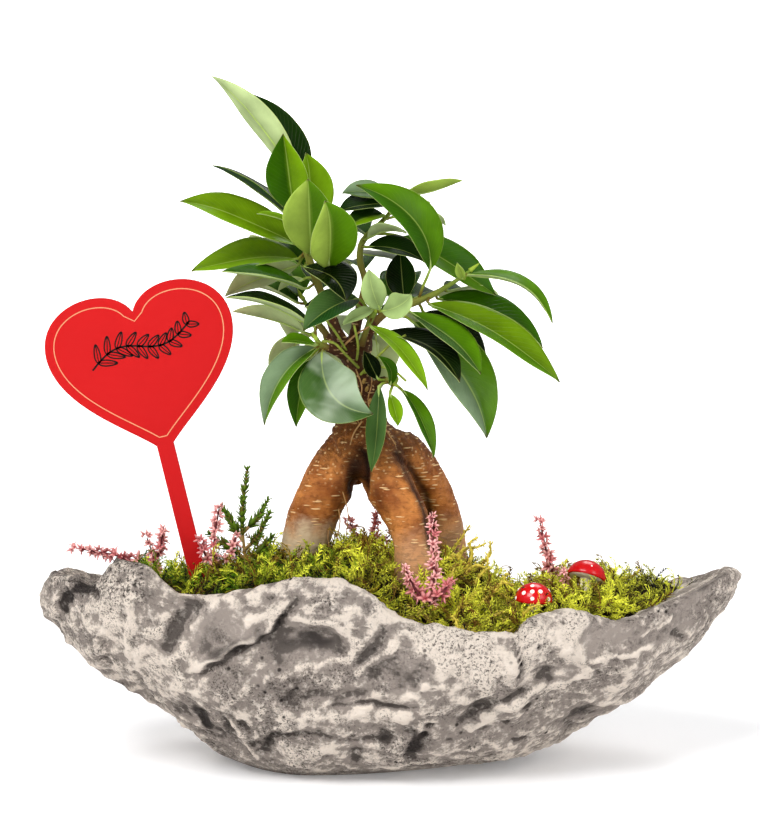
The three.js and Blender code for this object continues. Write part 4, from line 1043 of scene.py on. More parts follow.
    def inner_ring(self, share: float) -> list[Vector]:
        """A ring of the cavity's wall.

        Args:
            share: 0 at the rim, 1 at the floor.

        Returns:
            The places round it.
        """
        ring = []
        for angle in self.angles:
            x, y = self.outline(*self.mouth, 0, self.mouth_point, angle)
            z = (self.rim(x, y) - 2.5) * (1 - share) + self.floor * share
            left, right, half_depth, point = (float(chain.at(z)) for chain in self.hollow)
            x, y = self.outline(left, right, half_depth, 0, point, angle)
            ring.append(Vector((x, y, z)))
        return ring

    def ledge(self, outer: Vector, inner: Vector, share: float) -> Vector:
        """A place on the flat top between the crest and the cavity, never over the rim line."""
        made = outer.lerp(inner, share)
        made.z = min(made.z, self.rim(made.x, made.y) - 0.8 - 1.7 * share)
        return made

    @staticmethod
    def chisel(spot: Vector) -> float:
        """The height of rough broken stone at a place, in millimetres.

        Args:
            spot: The place.

        Returns:
            How far it stands out of the smooth hull.
        """
        bent = spot + noise.noise_vector(spot * 0.02) * 14 + noise.noise_vector(spot * 0.09) * 4
        slanted = Vector((bent.x * 0.8 + bent.z * 0.5, bent.y, bent.z * 1.6 - bent.x * 0.35))
        near = noise.voronoi(slanted * 0.026)[0]
        small = noise.voronoi(slanted * 0.085 + Vector((7, 3, 1)))[0]
        broken = noise.ridged_multi_fractal(slanted * 0.045, 0.9, 2.1, 5, 1.0, 2.0)
        grain = noise.fractal(spot * 0.13, 0.65, 2.1, 5)
        made = 4.2 * (min(near[0], 1) ** 2 - 0.28) + 1.6 * (min(small[0], 1) ** 2 - 0.25)
        return made + 0.7 * (broken - 1.2) + 0.8 * grain

    def weather(self, mesh: Mesh, rings: int) -> None:
        """Cuts marks and grain into the smooth hull, and keeps numbers for its finish, among them painted shade
        and painted light from its curvature and its marks.

        Args:
            mesh: The planter's mesh, in metres: its rings in order, then two hubs.
            rings: How many rings it has.
        """
        count = len(mesh.vertices)
        places, normals = surface(mesh)
        drawn, smooth, shade = np.zeros(count), np.zeros(count), np.zeros(count)
        facing = np.clip((0.3 - normals[:, 1]) / 0.5, 0, 1) * np.clip((-places[:, 1] - 3) / 12, 0, 1)
        spots = [Vector(place) for place in places]
        waves = [noise.noise_vector(k * 0.05) * 3.2 + noise.noise_vector(k * 0.17) * 1.8 for k in spots]
        bent = places + np.array(waves)
        broken = np.clip([0.85 + 0.9 * noise.noise(k * 0.08 + Vector((9, 4, 2))) for k in spots], 0.25, 1.15)
        for stroke in self.strokes:
            near, side = stroke.near(bent[:, 0], bent[:, 2])
            near = near * facing * (1 if stroke.smooth > 0.65 or stroke.out < -5 else broken)
            drawn += near * (stroke.out + stroke.step * side)
            smooth = np.maximum(smooth, stroke.smooth * near)
            shade += stroke.shade * near
        rough = np.array([self.chisel(Vector(place)) for place in places])
        height = drawn + rough * (1 - 0.8 * smooth)
        columns = len(self.angles)
        outer = self.rises + 1 + len(self.crests)
        level = np.arange(count) // columns
        inside = np.where(level < outer + len(self.ledges), 0.4, 0.12)
        kept = np.where(level < outer, 1.0, inside) * np.clip((places[:, 2] - 0.5) / 8, 0.0, 1)
        kept[level == outer - 1] = 0.5
        moved = places + normals * (height * kept)[:, None]
        moved[:, 2] = np.where(places[:, 2] < 0.01, 0, np.maximum(moved[:, 2], 0.02))
        mesh.vertices.foreach_set("co", (moved * MM).ravel())
        # The hull's curvature: in the finish it makes ridges pale, chalky wear and painted highlight, and
        # hollows dark, painted shade.
        grid = (height * kept)[: rings * columns].reshape(rings, columns)
        blurred = grid.copy()
        for _ in range(10):
            blurred = (blurred + np.roll(blurred, 1, 1) + np.roll(blurred, -1, 1)) / 3
            above, below = np.vstack([blurred[:1], blurred[:-1]]), np.vstack([blurred[1:], blurred[-1:]])
            blurred = (blurred + above + below) / 3
        wear_and_hollow_shade = np.zeros(count)
        wear_and_hollow_shade[: rings * columns] = (grid - blurred).ravel()
        for name, numbers in (("wear_and_hollow_shade", 0.5 + wear_and_hollow_shade / 2.4), ("smooth", smooth), ("shade", 0.5 + shade / 2)):
            mesh.attributes[name].data.foreach_set("value", np.clip(numbers, 0, 1))
        mesh.update()

    def build(self) -> None:
        """Makes the planter and dresses it."""
        shape = Shape("wear_and_hollow_shade", "smooth", "shade")
        rings = [self.outer_ring(k / self.rises) for k in range(self.rises + 1)]
        rings += [self.crest_ring(inset, rise) for inset, rise in self.crests]
        crest, wall = rings[-1], self.inner_ring(0)
        for share in self.ledges:
            rings.append([self.ledge(a, b, share) for a, b in zip(crest, wall)])
        rings += [self.inner_ring(share) for share in self.walls]
        rows = [[shape.add(place) for place in ring] for ring in rings]
        hubs = (shape.add(Vector((-20, 0, 0))), shape.add(Vector((0, 0, self.floor))))
        shape.shell(rows, hubs)
        piece = shape.piece("stone_planter", StoneFinish().material())
        self.weather(piece.data, len(rows))
        dress(piece, "stone", "planter")


class GeometryTree(NodeMaker):
    """Builds a geometry node tree whose inputs have names."""

    def __init__(self, name: str) -> None:
        """Starts a tree with a geometry input and output."""
        super().__init__(bpy.data.node_groups.new(name, "GeometryNodeTree"))
        for way in ("INPUT", "OUTPUT"):
            self.tree.interface.new_socket("Geometry", in_out=way, socket_type="NodeSocketGeometry")
        self.names: dict[str, str] = {}
        self.source = self.tree.nodes.new("NodeGroupInput")
        self.result = self.tree.nodes.new("NodeGroupOutput")

    @property
    def geometry(self) -> Value:
        """The geometry that is fed in."""
        return Value(self, self.source.outputs["Geometry"])

    def setting(self, name: str, kind: str = "Float") -> Value:
        """Adds a named input and gives it as a value inside the tree."""
        made = self.tree.interface.new_socket(name, in_out="INPUT", socket_type=f"NodeSocket{kind}")
        self.names[name] = made.identifier
        return Value(self, self.source.outputs[name])

    def number(self, name: str) -> Value:
        """A number that the mesh carries."""
        return self.out("GeometryNodeInputNamedAttribute", {"Name": name}, data_type="FLOAT")

    def over(self, first: Value, second: Value | float) -> Value:
        """Whether the first number is over the second."""
        return self.out("FunctionNodeCompare", {0: first, 1: second}, operation="GREATER_THAN")

    def joined(self, *parts: Value) -> Value:
        """Several geometries as one."""
        both = self.tree.nodes.new("GeometryNodeJoinGeometry")
        for part in parts:
            self.feed(both.inputs[0], part)
        return Value(self, both.outputs[0])

    def dressed(self, geometry: Value, finish: Material) -> Value:
        """The geometry with a finish."""
        return self.out("GeometryNodeSetMaterial", {"Geometry": geometry, "Material": finish})

    def turned(self, rotation: Value, turn: Value) -> Value:
        """A rotation, turned further about its own axes."""
        inputs = {"Rotation": rotation, "Rotate By": turn}
        return self.out("FunctionNodeRotateRotation", inputs, rotation_space="LOCAL")

    def random(self, low: Value | float, high: Value | float, seed: Value, kind: str = "FLOAT") -> Value:
        """A random value for each point, between low and high."""
        first, output = {"FLOAT_VECTOR": (0, 0), "FLOAT": (2, 1), "INT": (4, 2)}[kind]
        inputs = {first: low, first + 1: high, "Seed": seed}
        return self.out("FunctionNodeRandomValue", inputs, output, data_type=kind)

    def scattered(self, points: Value, seed: Value, templates: Sequence[Piece], rotation: Value, scale: Value,
                  selection: Value | bool = True) -> Value:
        """Puts one of the templates at each point, with a random tone, and makes them real.

        Args:
            points: The points.
            seed: The random seed.
            templates: The objects to choose from.
            rotation: How each one is turned.
            scale: How large each one is.
            selection: The points that get one.

        Returns:
            The scattered meshes.
        """
        inputs = {"As Instance": True}
        kinds = [self.out("GeometryNodeObjectInfo", inputs | {"Object": one}, "Geometry") for one in templates]
        inputs = {
            "Points": points,
            "Selection": selection,
            "Instance": self.joined(*kinds),
            "Pick Instance": True,
            "Instance Index": self.random(0, len(templates) - 1, seed, "INT"),
            "Rotation": rotation,
            "Scale": scale,
        }
        sown = self.out("GeometryNodeInstanceOnPoints", inputs)
        inputs = {"Geometry": sown, "Name": "tone", "Value": self.random(0.0, 1.0, seed)}
        toned = self.out("GeometryNodeStoreNamedAttribute", inputs, data_type="FLOAT", domain="INSTANCE")
        return self.out("GeometryNodeRealizeInstances", {"Geometry": toned})

    def finish(self, geometry: Value) -> None:
        """Links the tree's result."""
        self.feed(self.result.inputs[0], geometry)

    def grow(self, piece: Piece, **settings: object) -> None:
        """Runs the tree on a piece, with the named inputs, and keeps its result as a plain mesh."""
        modifier = piece.modifiers.new("grown", "NODES")
        modifier.node_group = self.tree
        for name, value in settings.items():
            modifier[self.names[name]] = value
        settle(piece)


def template(shape: Shape, name: str, material: Material) -> Piece:
    """A hidden small object that trees scatter; it is deleted when its tree has run."""
    made = shape.piece(name, material)
    made.hide_render = True
    return made


def discard(pieces: Iterable[Piece]) -> None:
    """Deletes the templates."""
    for piece in pieces:
        bpy.data.objects.remove(piece)


def pointed_leaf(shape: Shape, foot: Vector, way: Vector, face: Vector, length: float, width: float,
                 thick: float) -> None:
    """A small closed leaf of sixteen triangles that rises from its foot to a point.

    Args:
        shape: The mesh that it joins.
        foot: Where it starts.
        way: Where it points.
        face: The way its upper side looks.
        length: Its length.
        width: Its width.
        thick: Its thickness.
    """
    way = way.normalized()
    face = (face - way * face.dot(way)).normalized()
    side = way.cross(face)
    rings = []
    for share, spread, lift in ((0.0, 0.35, 0.0), (0.45, 1.0, 0.05), (0.8, 0.6, -0.02)):
        centre = foot + way * (length * share) + face * (length * lift)
        half, deep = width * spread / 2, thick * spread / 2
        corners = (side * half, face * deep, side * -half, face * -deep)
        rings.append([shape.add(centre + corner, rise=share) for corner in corners])
    shape.shell(rings, (shape.add(foot - way * 0.1, rise=0), shape.add(foot + way * length, rise=1)))


def scale_leaf(shape: Shape, route: Route, share: float, number: int, thick: float, gap: float,
               size: Triple) -> None:
    """A small leaf on a stem, each one turned further round it than the last.

    Args:
        shape: The mesh that it joins.
        route: The stem's middle.
        share: Where it stands on the stem.
        number: Which leaf of the stem it is.
        thick: How thick the stem is, 1 being the usual.
        gap: How far from the middle it starts on a usual stem.
        size: Its length, width and thickness.
    """
    run = route.way(share)
    out = Matrix.Rotation(2.4 * number, 3, run) @ run.orthogonal().normalized()
    pointed_leaf(shape, route.at(share) + out * thick * gap, run + out * 0.9, out, *size)


@dataclass
class MossBed:
    """The moss: a lumpy bed, feathery fronds and short strands on it, and curly dry tendrils."""

    planter: Planter
    around: int = 160
    rows: int = 40
    thickness: float = 8.0
    inset: float = 0.4
    settled: float = 2.6
    back_settled: float = 1.4
    # across, back and height of the heaps about the toy mushrooms
    heaps: tuple[Triple, ...] = ((98, -24, 4.6), (108, -22, 2.6), (72, -45, 1.6))
    ridge: tuple[Pair, ...] = (
        (-140, 85), (-118, 88), (-100, 94), (-85, 97), (-64, 100), (-45, 103), (-22, 106), (0, 103),
        (30, 98), (45, 92), (55, 85), (65, 80), (80, 84), (100, 88), (120, 90), (145, 91),
    )
    frond_density: float = 78000.0
    strand_density: float = 130000.0
    creeper_density: float = 20000.0
    # points across, up, back in the front view, and thickness
    tendrils: tuple[tuple[tuple[Triple, ...], float], ...] = (
        (((38, 96, -14), (41, 103, -15), (40, 109, -16), (44, 112, -15)), 0.9),
        (((36, 92, -18), (43, 98, -20), (48, 97, -22), (49, 104, -22)), 0.8),
        (((42, 88, -20), (46, 94, -20), (50, 97, -18)), 0.8),
        (((58, 80, -20), (60, 86, -20), (57, 91, -20), (59, 94, -19)), 0.7),
        (((112, 86, -2), (117, 91, -3), (122, 93, -3), (125, 96, -2)), 0.8),
        (((34, 100, -10), (37, 106, -12), (44, 107, -14), (48, 109, -12)), 0.8),
        (((24, 86, -40), (30, 92, -42), (33, 99, -40)), 0.7),
        (((52, 84, -34), (56, 89, -36), (62, 88, -36)), 0.7),
        (((30, 104, 6), (36, 112, 4), (40, 118, 2)), 0.7),
        (((44, 96, 4), (50, 104, 2), (50, 110, 0)), 0.8),
        (((-30, 100, -30), (-26, 106, -32), (-20, 106, -34)), 0.6),
        (((-60, 98, -20), (-56, 104, -22), (-50, 103, -22)), 0.6),
        (((100, 86, 20), (106, 92, 22), (112, 92, 24)), 0.7),
    )

    def __post_init__(self) -> None:
        """Makes a smooth curve of the ridge."""
        self.crest = Chain(self.ridge)

    def height(self, x: float, y: float) -> float:
        """The bed's height over a place, without its tufts.

        Args:
            x: Along the planter.
            y: Across it.

        Returns:
            The height.
        """
        left, right, half_depth = self.planter.mouth
        reach = left if x < 0 else right
        width = half_depth * max(0.04, 1 - (x / reach) ** 2) ** 0.575
        share = min(1.1, abs(y) / width)
        side = ease(y, -4, 4)
        edge = self.planter.rim(x, y) - 0.5 * (1 - side) + 2 * side
        return float(self.crest.at(x)) * (1 - share * share) + edge * share * share

    @staticmethod
    def tufts(x: float, y: float) -> float:
        """The lumps of the bed over a place, in millimetres up."""
        clump = noise.voronoi(Vector((x, y, 0)) * 0.08)[0]
        fine = noise.voronoi(Vector((x + 40, y, 3)) * 0.19)[0]
        broad = math.sin(x * 0.21 + 1.3 * math.sin(y * 0.13)) * math.cos(y * 0.24 + 0.6 * math.sin(x * 0.1))
        return 0.8 * broad + 5.4 * (0.5 - min(1, clump[0])) + 2.2 * (0.45 - min(1, fine[0]))

    def bed(self) -> Shape:
        """The bed's closed mesh."""
        shape = Shape("rise", "tuft")
        mouth = [size - self.inset for size in self.planter.mouth]
        upper, lower = [], []
        for row in range(self.rows + 1):
            share = (row + 0.02) / (self.rows + 0.02)
            top, bottom = [], []
            for k in range(self.around):
                angle = 2 * math.pi * k / self.around
                x, y = self.planter.outline(*mouth, 0, self.planter.mouth_point, angle)
                x, y = x * share, y * share
                level, edge = self.height(x, y), ease(share, 0.93, 1.0)
                tuft = self.tufts(x, y)
                low = 1 - 0.95 * math.exp(-(((x - 86) / 30) ** 2))
                heap = sum(high * math.exp(-((x - u) ** 2 + (y - v) ** 2) / 150) for u, v, high in self.heaps)
                sink = (self.settled + self.back_settled * ease(y, 0, 30)) * low + 0.6 * edge - heap
                top_place = Vector((x, y, level + tuft * (1 - 0.6 * edge) - sink))
                full = min(1.0, max(0.0, 0.5 + tuft / 4.5))
                top.append(shape.add(top_place, rise=full, tuft=full))
                bottom.append(shape.add(Vector((x, y, level - self.thickness))))
            upper.append(top)
            lower.append(bottom)
        for rows in (upper, lower):
            shape.skin(rows)
            shape.face(rows[0])
        shape.bridge(upper[-1], lower[-1])
        return shape

    @staticmethod
    def frond(seed: int, material: Material) -> Piece:
        """A feathery frond about 11 mm long: an arched rib with pairs of fine leaflets.

        Args:
            seed: Its shape's number.
            material: Its finish.

        Returns:
            The template.
        """
        chance = random.Random(seed)
        lean, curl = chance.uniform(1.5, 4), chance.uniform(-3, 3)
        bends = ((0, 0, -2), (lean * 0.3, 0, 2.5), (lean, curl, 6.2), (lean * 1.9, curl * 1.8, 8.4),
                 (lean * 2.6, curl * 2.2, 8.2))
        spine = Route([Vector(bend) for bend in bends])
        shape = Shape("rise")
        shape.tube(spine, lambda share: 0.42 * (1 - 0.7 * share), 3, 3, rise=0.4)
        for k in range(7):
            share = 0.24 + 0.115 * k
            for side in (-1, 1):
                foot, way = spine.at(share), spine.way(share)
                out = Vector((way.z * 0.3, side, chance.uniform(-0.2, 0.5))).normalized()
                tip = foot + (out + way * 1.2) * chance.uniform(1.5, 2.4) * (1.25 - share * 0.7)
                wide = way * 0.6
                corners = (foot - wide, foot + wide, foot + Vector((0, 0, 0.4)), tip)
                rises = (0.3, 0.3, 0.3, 0.55 + 0.45 * share)
                ids = [shape.add(corner, rise=rise) for corner, rise in zip(corners, rises)]
                for three in ((0, 1, 2), (0, 1, 3), (1, 2, 3), (2, 0, 3)):
                    shape.face([ids[n] for n in three])
        return template(shape, f"frond_{seed}", material)

    @staticmethod
    def creeper(seed: int, material: Material) -> Piece:
        """A longer curled stem, about 15 mm, set with small scale leaves.

        Args:
            seed: Its shape's number.
            material: Its finish.

        Returns:
            The template.
        """
        chance = random.Random(seed)
        points, way = [Vector((0, 0, -3))], Vector((chance.uniform(-0.5, 0.5), chance.uniform(-0.5, 0.5), 1))
        turn = Vector((chance.uniform(-0.6, 0.6), chance.uniform(-0.6, 0.6), chance.uniform(-0.5, -0.1)))
        for _ in range(5):
            points.append(points[-1] + way.normalized() * 3.6)
            way = way.normalized() + turn
        spine = Route(points)
        shape = Shape("rise")
        shape.tube(spine, lambda share: 0.75 * (1 - 0.5 * share), 12, 5, rise=0.45)
        for k in range(22):
            scale_leaf(shape, spine, 0.12 + 0.04 * k, k, 1.0, 0.4, (1.9, 1.0, 0.4))
        return template(shape, f"creeper_{seed}", material)

    @staticmethod
    def strand(seed: int, material: Material) -> Piece:
        """A short curled strand.

        Args:
            seed: Its shape's number.
            material: Its finish.

        Returns:
            The template.
        """
        chance = random.Random(seed)
        points = [Vector((0, 0, -1.5))]
        for k in range(4):
            bend = Vector((chance.uniform(-1.4, 2.4), chance.uniform(-1.9, 1.9), 2.3 - 0.6 * k))
            points.append(points[-1] + bend)
        shape = Shape("rise")
        route = Route(points)
        before = len(shape.places)
        shape.tube(route, lambda share: 0.42 * (1 - 0.7 * share), 5, 3)
        for k in range(before, len(shape.places)):
            shape.values["rise"][k] = min(1, max(0, (shape.places[k].z + 1) / 6))
        return template(shape, f"strand_{seed}", material)

    def tree(self, name: str, templates: Sequence[Piece], finish: Material, whole: bool) -> GeometryTree:
        """The tree that scatters templates over the bed's upper side, between two places along it.

        Args:
            name: The tree's name.
            templates: What it scatters.
            finish: Their finish.
            whole: Whether the bed stays in the result.

        Returns:
            The tree.
        """
        made = GeometryTree(name)
        density, seed, tilt = made.setting("Density"), made.setting("Seed", "Int"), made.setting("Tilt")
        start, end, small, large = (made.setting(one) for one in ("Start", "End", "Smallest", "Largest"))
        up, spot = made.out("GeometryNodeInputNormal", {}), made.out("GeometryNodeInputPosition", {})
        along = spot.axis("X")
        chosen = made.over(up.axis("Z"), 0.25)
        for limit in (made.over(along, start), made.over(end, along)):
            chosen = made.out("FunctionNodeBooleanMath", {0: chosen, 1: limit})
        tuft = made.number("tuft")
        dense = density * made.span(tuft, 0.2, 0.55, 0.12, 1.15)
        inputs = {"Mesh": made.geometry, "Density": dense, "Seed": seed, "Selection": chosen}
        sown = made.node("GeometryNodeDistributePointsOnFaces", inputs)
        points, rotation = (Value(made, sown.outputs[one]) for one in ("Points", "Rotation"))
        least = tilt * 0.3
        low = made.out("ShaderNodeCombineXYZ", {0: least, 1: tilt * -0.4})
        high = made.out("ShaderNodeCombineXYZ", {0: tilt, 1: least, 2: 2 * math.pi})
        turned = made.turned(rotation, made.random(low, high, seed, "FLOAT_VECTOR"))
        scale = made.span(spot.axis("Y"), 0.0, 0.04, 1.0, 0.62) * made.span(tuft, 0, 1, 0.75, 1.15)
        scale = scale * made.random(small, large, seed)
        grown = made.dressed(made.scattered(points, seed, templates, turned, scale), finish)
        made.finish(made.joined(made.geometry, grown) if whole else grown)
        return made

    def long_tendrils(self, material: Material) -> None:
        """Curly scaly stems that stand out of the moss."""
        shape = Shape("rise", "tuft")
        for points, thick in self.tendrils:
            route = seen(points)
            shape.tube(route, lambda share, thick=thick: 1.2 * thick * (1 - 0.5 * share), 14, 6, rise=0.5)
            count = int(route.length / 1.1)
            for k in range(1, count):
                scale_leaf(shape, route, k / count, k, thick, 0.6, (2.3, 1.2, 0.5))
        shape.values["tuft"] = [0.7] * len(shape.places)
        dress(shape.piece("moss_tendrils", material), "moss")

    def build(self) -> None:
        """Makes the bed, the fronds and the tendrils."""
        ground = GroundFinish("moss_ground", (18, 12, 3), (54, 38, 8), (500, 3, 0.55)).material()
        green = MossFinish("moss_strands").material()
        brown = MossFinish("moss_curls", (98, 104, 12), (136, 96, 18), (226, 206, 84), (58, 34, 6)).material()
        strands = [self.strand(seed, green) for seed in range(3)]
        fronds = [self.frond(seed, green) for seed in range(3, 7)]
        creepers = [self.creeper(seed, brown) for seed in range(7, 11)]
        everywhere = {"Start": -0.129, "End": 1.0}
        carpet = self.tree("carpet", strands, green, whole=True)
        feathers = self.tree("feathers", fronds, green, whole=False)
        curls = self.tree("curls", creepers, brown, whole=False)
        bed = self.bed().piece("moss_bed", ground)
        carpet.grow(bed, Density=self.strand_density, Seed=3, Tilt=1.1, Smallest=0.7, Largest=1.4,
                    **everywhere)
        dress(bed, "moss", "moss")
        for name, seed in (("moss_fronds", 8), ("moss_tips", 9)):
            layer = self.bed().piece(name, green)
            feathers.grow(layer, Density=self.frond_density, Seed=seed, Tilt=1.2, Smallest=0.7, Largest=1.4,
                          **everywhere)
            dress(layer, "moss")
        layer = self.bed().piece("moss_curls", brown)
        curls.grow(layer, Density=self.creeper_density, Seed=5, Tilt=1.0, Smallest=0.7, Largest=1.35,
                   Start=0.012, End=0.075)
        dress(layer, "moss")
        discard(strands + fronds + creepers)
        self.long_tendrils(brown)


@dataclass(frozen=True)
class Limb:
    """A tapering limb: its route in the front view and its radii."""

    points: tuple[Triple, ...]
    radii: tuple[float, ...]
    swell: float = 0.04


@dataclass
class Trunk:
    """The swollen aerial roots, the crown where they join, the neck and the first limbs."""

    voxel: float = 1.0
    limbs: tuple[Limb, ...] = (
        Limb(((-48, 66, 2), (-46.5, 84, 2), (-44, 101, 1), (-41, 116.5, 0), (-35, 130.5, -1),
              (-26.5, 144.5, -1), (-17, 156, 0)), (7, 11, 12, 12.2, 12.6, 13.6, 14)),
        Limb(((9, 62, -30), (11, 80, -29), (12.5, 97, -27), (11.5, 111.5, -25), (6.5, 126.5, -21),
              (-2.5, 142, -14), (-9, 154, -6)), (6.5, 10, 11, 10.4, 11.4, 13, 13.5)),
        Limb(((29, 66, 24), (29, 84, 23), (28, 104, 22), (25.5, 122, 20), (20.5, 134, 17),
              (12, 146, 11), (0, 156, 4)), (6.5, 9.5, 10.2, 10.5, 10.8, 12, 13)),
        Limb(((-21, 153, 0), (-13, 158, -1), (-4, 157, 0)), (15, 17, 14.5)),
        Limb(((12, 145, 11), (4, 152, 6), (-7, 158, 1)), (12.4, 13, 12.6)),
        Limb(((-2, 144, -12), (-6, 152, -7), (-11, 158, -3)), (12.8, 13.4, 12.4)),
        Limb(((-14, 152, 5), (-16, 144, 6), (-17, 137.5, 6)), (9, 5.5, 3)),
        Limb(((-12, 158, -1), (-11, 168, -1), (-11.5, 179, -1), (-14.5, 190.5, -2), (-19, 201.5, -1),
              (-23, 209, 0)), (15, 10, 6.8, 6, 5.4, 4)),
        Limb(((-20, 203, 0), (-26.5, 214, -1), (-30.5, 223.5, -2)), (4, 3.4, 2.9)),
        Limb(((-17.5, 198, 0), (-12, 211, -2), (-7, 221.5, -3)), (4, 3.2, 2.7)),
        Limb(((-16, 193, 2), (-12, 204, 14), (-10.5, 211, 23)), (3.6, 3, 2.5)),
        Limb(((-20, 204, 2), (-16.5, 219, 6), (-14, 231, 9)), (3.4, 2.8, 2.4)),
        Limb(((-12.5, 183, -3), (-6, 189, -9), (-2, 191, -13)), (3, 2.5, 2.1)),
        Limb(((-18.5, 200, -2), (-27, 205, -7), (-32.5, 207, -10)), (3, 2.6, 2.1)),
        Limb(((-18, 197, 2), (-26, 206, 13), (-31.5, 213.5, 23)), (3.4, 2.8, 2.3)),
    )
    # Thin roots and fibres: routes in the front view, and their radius.
    fibres: tuple[tuple[tuple[Triple, ...], float], ...] = (
        (((-27, 132, -10), (-25, 120, -9), (-27, 108, -8), (-26, 100, -8)), 0.35),
        (((-24, 136, -12), (-21, 124, -13), (-22, 112, -12)), 0.3),
        (((-29, 124, -9), (-31, 113, -8), (-30, 104, -8)), 0.3),
        (((-17, 196, -7), (-14, 186, -9), (-17, 176, -9), (-15, 166, -12)), 0.4),
        (((-12, 200, -7), (-9, 190, -9), (-11, 180, -9), (-8, 172, -10)), 0.35),
        (((-21, 198, -5), (-20, 188, -8), (-22, 180, -8)), 0.35),
        (((-24, 207, -5), (-16, 214, -9), (-11, 217, -12), (-9, 219.5, -13)), 0.6),
        (((-14, 170, -13), (-18, 164, -15), (-20, 158, -17)), 0.5),
        (((-6, 171, -12), (-1, 164, -15), (3, 158, -17)), 0.5),
    )
    # Creases between the legs, pressed in and darkened with painted shade.
    creases: tuple[Stroke, ...] = (
        Stroke(((-15, 154), (-14.5, 146), (-16, 134)), 4.0, -5.0, shade=1.0, depth=-20),
        Stroke(((-18, 150), (-19, 142), (-18, 133)), 4.4, shade=0.95, depth=-6),
        Stroke(((-20, 146), (-24, 134), (-27, 120), (-29, 108)), 4.0, shade=0.45, depth=-8),
        Stroke(((-12, 146), (-9, 138), (-4, 128)), 2.6, shade=0.35, depth=-22),
        Stroke(((4, 156), (12, 143), (18, 130), (21, 112)), 2.8, -1.8, shade=0.9, depth=-8),
    )
    # Green stalks that cross in front of the neck: routes in the front view, and their radius.
    stalks: tuple[tuple[tuple[Triple, ...], float], ...] = (
        (((-16, 192, -6), (-9, 199, -13), (0, 208, -18), (8, 213, -20)), 0.7),
        (((-15, 196, -6), (-22, 203, -13), (-28, 209, -16), (-34, 210, -17)), 0.7),
        (((-17, 198, -4), (-16, 208, -11), (-18, 218, -15)), 0.65),
        (((-13, 194, -7), (-6, 197, -15), (2, 195, -20), (8, 190, -23)), 0.6),
        (((-20, 202, -4), (-27, 214, -9), (-33, 222, -12)), 0.65),
    )
    # Bud scales on the neck: places in the front view.
    scales: tuple[Triple, ...] = ((-13, 190, -9), (-11.5, 186, -9), (-15, 183, -9), (-10, 180, -9),
                                  (-13.5, 176, -9))

    def body(self) -> Piece:
        """Joins the limbs into one skin of even faces."""
        shape = Shape()
        for number, limb in enumerate(self.limbs):
            route = seen(limb.points)
            girth = tapering(limb.radii)
            sides = 28 if limb.radii[0] > 5 else 14

            def radius(share: float, girth=girth) -> float:
                """The limb's radius, rounded in at its ends."""
                rounded = min(1, 0.6 + share * 18) * min(1, 0.6 + (1 - share) * 18)
                return float(girth.at(share)) * rounded

            start = len(shape.places)
            shape.tube(route, radius, 40 if limb.radii[0] > 5 else 14, sides)
            for k in range(start, len(shape.places)):
                around = (k - start) % sides * 2 * math.pi / sides
                along = (k - start) // sides / 40
                centre = route.at(min(1, along))
                wave = limb.swell * math.sin(3 * around + 8 * along + number)
                shape.places[k] = shape.places[k] + (shape.places[k] - centre) * wave
        piece = shape.piece("fig_trunk")
        remesh = piece.modifiers.new("skin", "REMESH")
        remesh.mode, remesh.voxel_size = "VOXEL", self.voxel * MM
        soften = piece.modifiers.new("soften", "SMOOTH")
        soften.factor, soften.iterations = 0.6, 9
        return settle(piece)

    def weather(self, mesh: Mesh) -> None:
        """Raises bark, furrows and rings on the smooth skin, presses in the creases, and keeps their painted
        shade as the mesh's shade number.
        """
        count = len(mesh.vertices)
        places, normals = surface(mesh)
        pressed, shade = np.zeros(count), np.zeros(count)
        facing = np.clip((0.35 - normals[:, 1]) / 0.6, 0, 1)
        for crease in self.creases:
            near = crease.near(places[:, 0], places[:, 2])[0] * facing
            pressed += crease.out * near
            shade = np.maximum(shade, crease.shade * near)
        keep(mesh, "shade", shade)
        for k, corner in enumerate(mesh.vertices):
            spot = corner.co / MM
            upright = Vector((spot.x, spot.y, spot.z * 0.28))
            out = 0.55 * noise.fractal(upright * 0.17, 0.8, 2, 4)
            out += 0.22 * noise.noise(Vector((spot.x * 0.1, spot.y * 0.1, spot.z * 0.9)))
            crown = ease(spot.z, 148, 166) * (1 - ease(spot.z, 196, 215))
            out += crown * 0.55 * noise.fractal(Vector((spot.x, spot.y, spot.z * 0.6)) * 0.45, 0.7, 2.2, 4)
            foot = 1 - ease(spot.z, 92, 116)
            out += foot * 0.7 * noise.noise(upright * 0.22)
            corner.co = (spot + Vector(normals[k]) * (out + pressed[k])) * MM
        mesh.update()

    def build(self) -> None:
        """Makes the trunk, its fibres and its bud scales."""
        piece = self.body()
        self.weather(piece.data)
        piece.data.materials.clear()
        piece.data.materials.append(BarkFinish().material())
        piece.data.polygons.foreach_set("use_smooth", [True] * len(piece.data.polygons))
        dress(piece, "bark", "trunk")
        shape = Shape()
        for points, thick in self.fibres:
            route = seen(points)
            shape.tube(route, lambda share, thick=thick: thick * (1.1 - 0.5 * share), 18, 6,
                       tint=lambda share: linear(176, 132, 84))
        for points, thick in self.stalks:
            route = seen(points)
            shape.tube(route, lambda share, thick=thick: thick, 18, 8,
                       tint=lambda share: linear(142, 156, 58))
        for place in self.scales:
            centre = EYE.place(place)
            shape.ball(centre, Vector((0.3, -0.6, 0.8)), (1.0, 2.0), 0, linear(150, 118, 62))
        dress(shape.piece("root_fibres", TintFinish("fibre", 0.7, 700).material()), "bark")


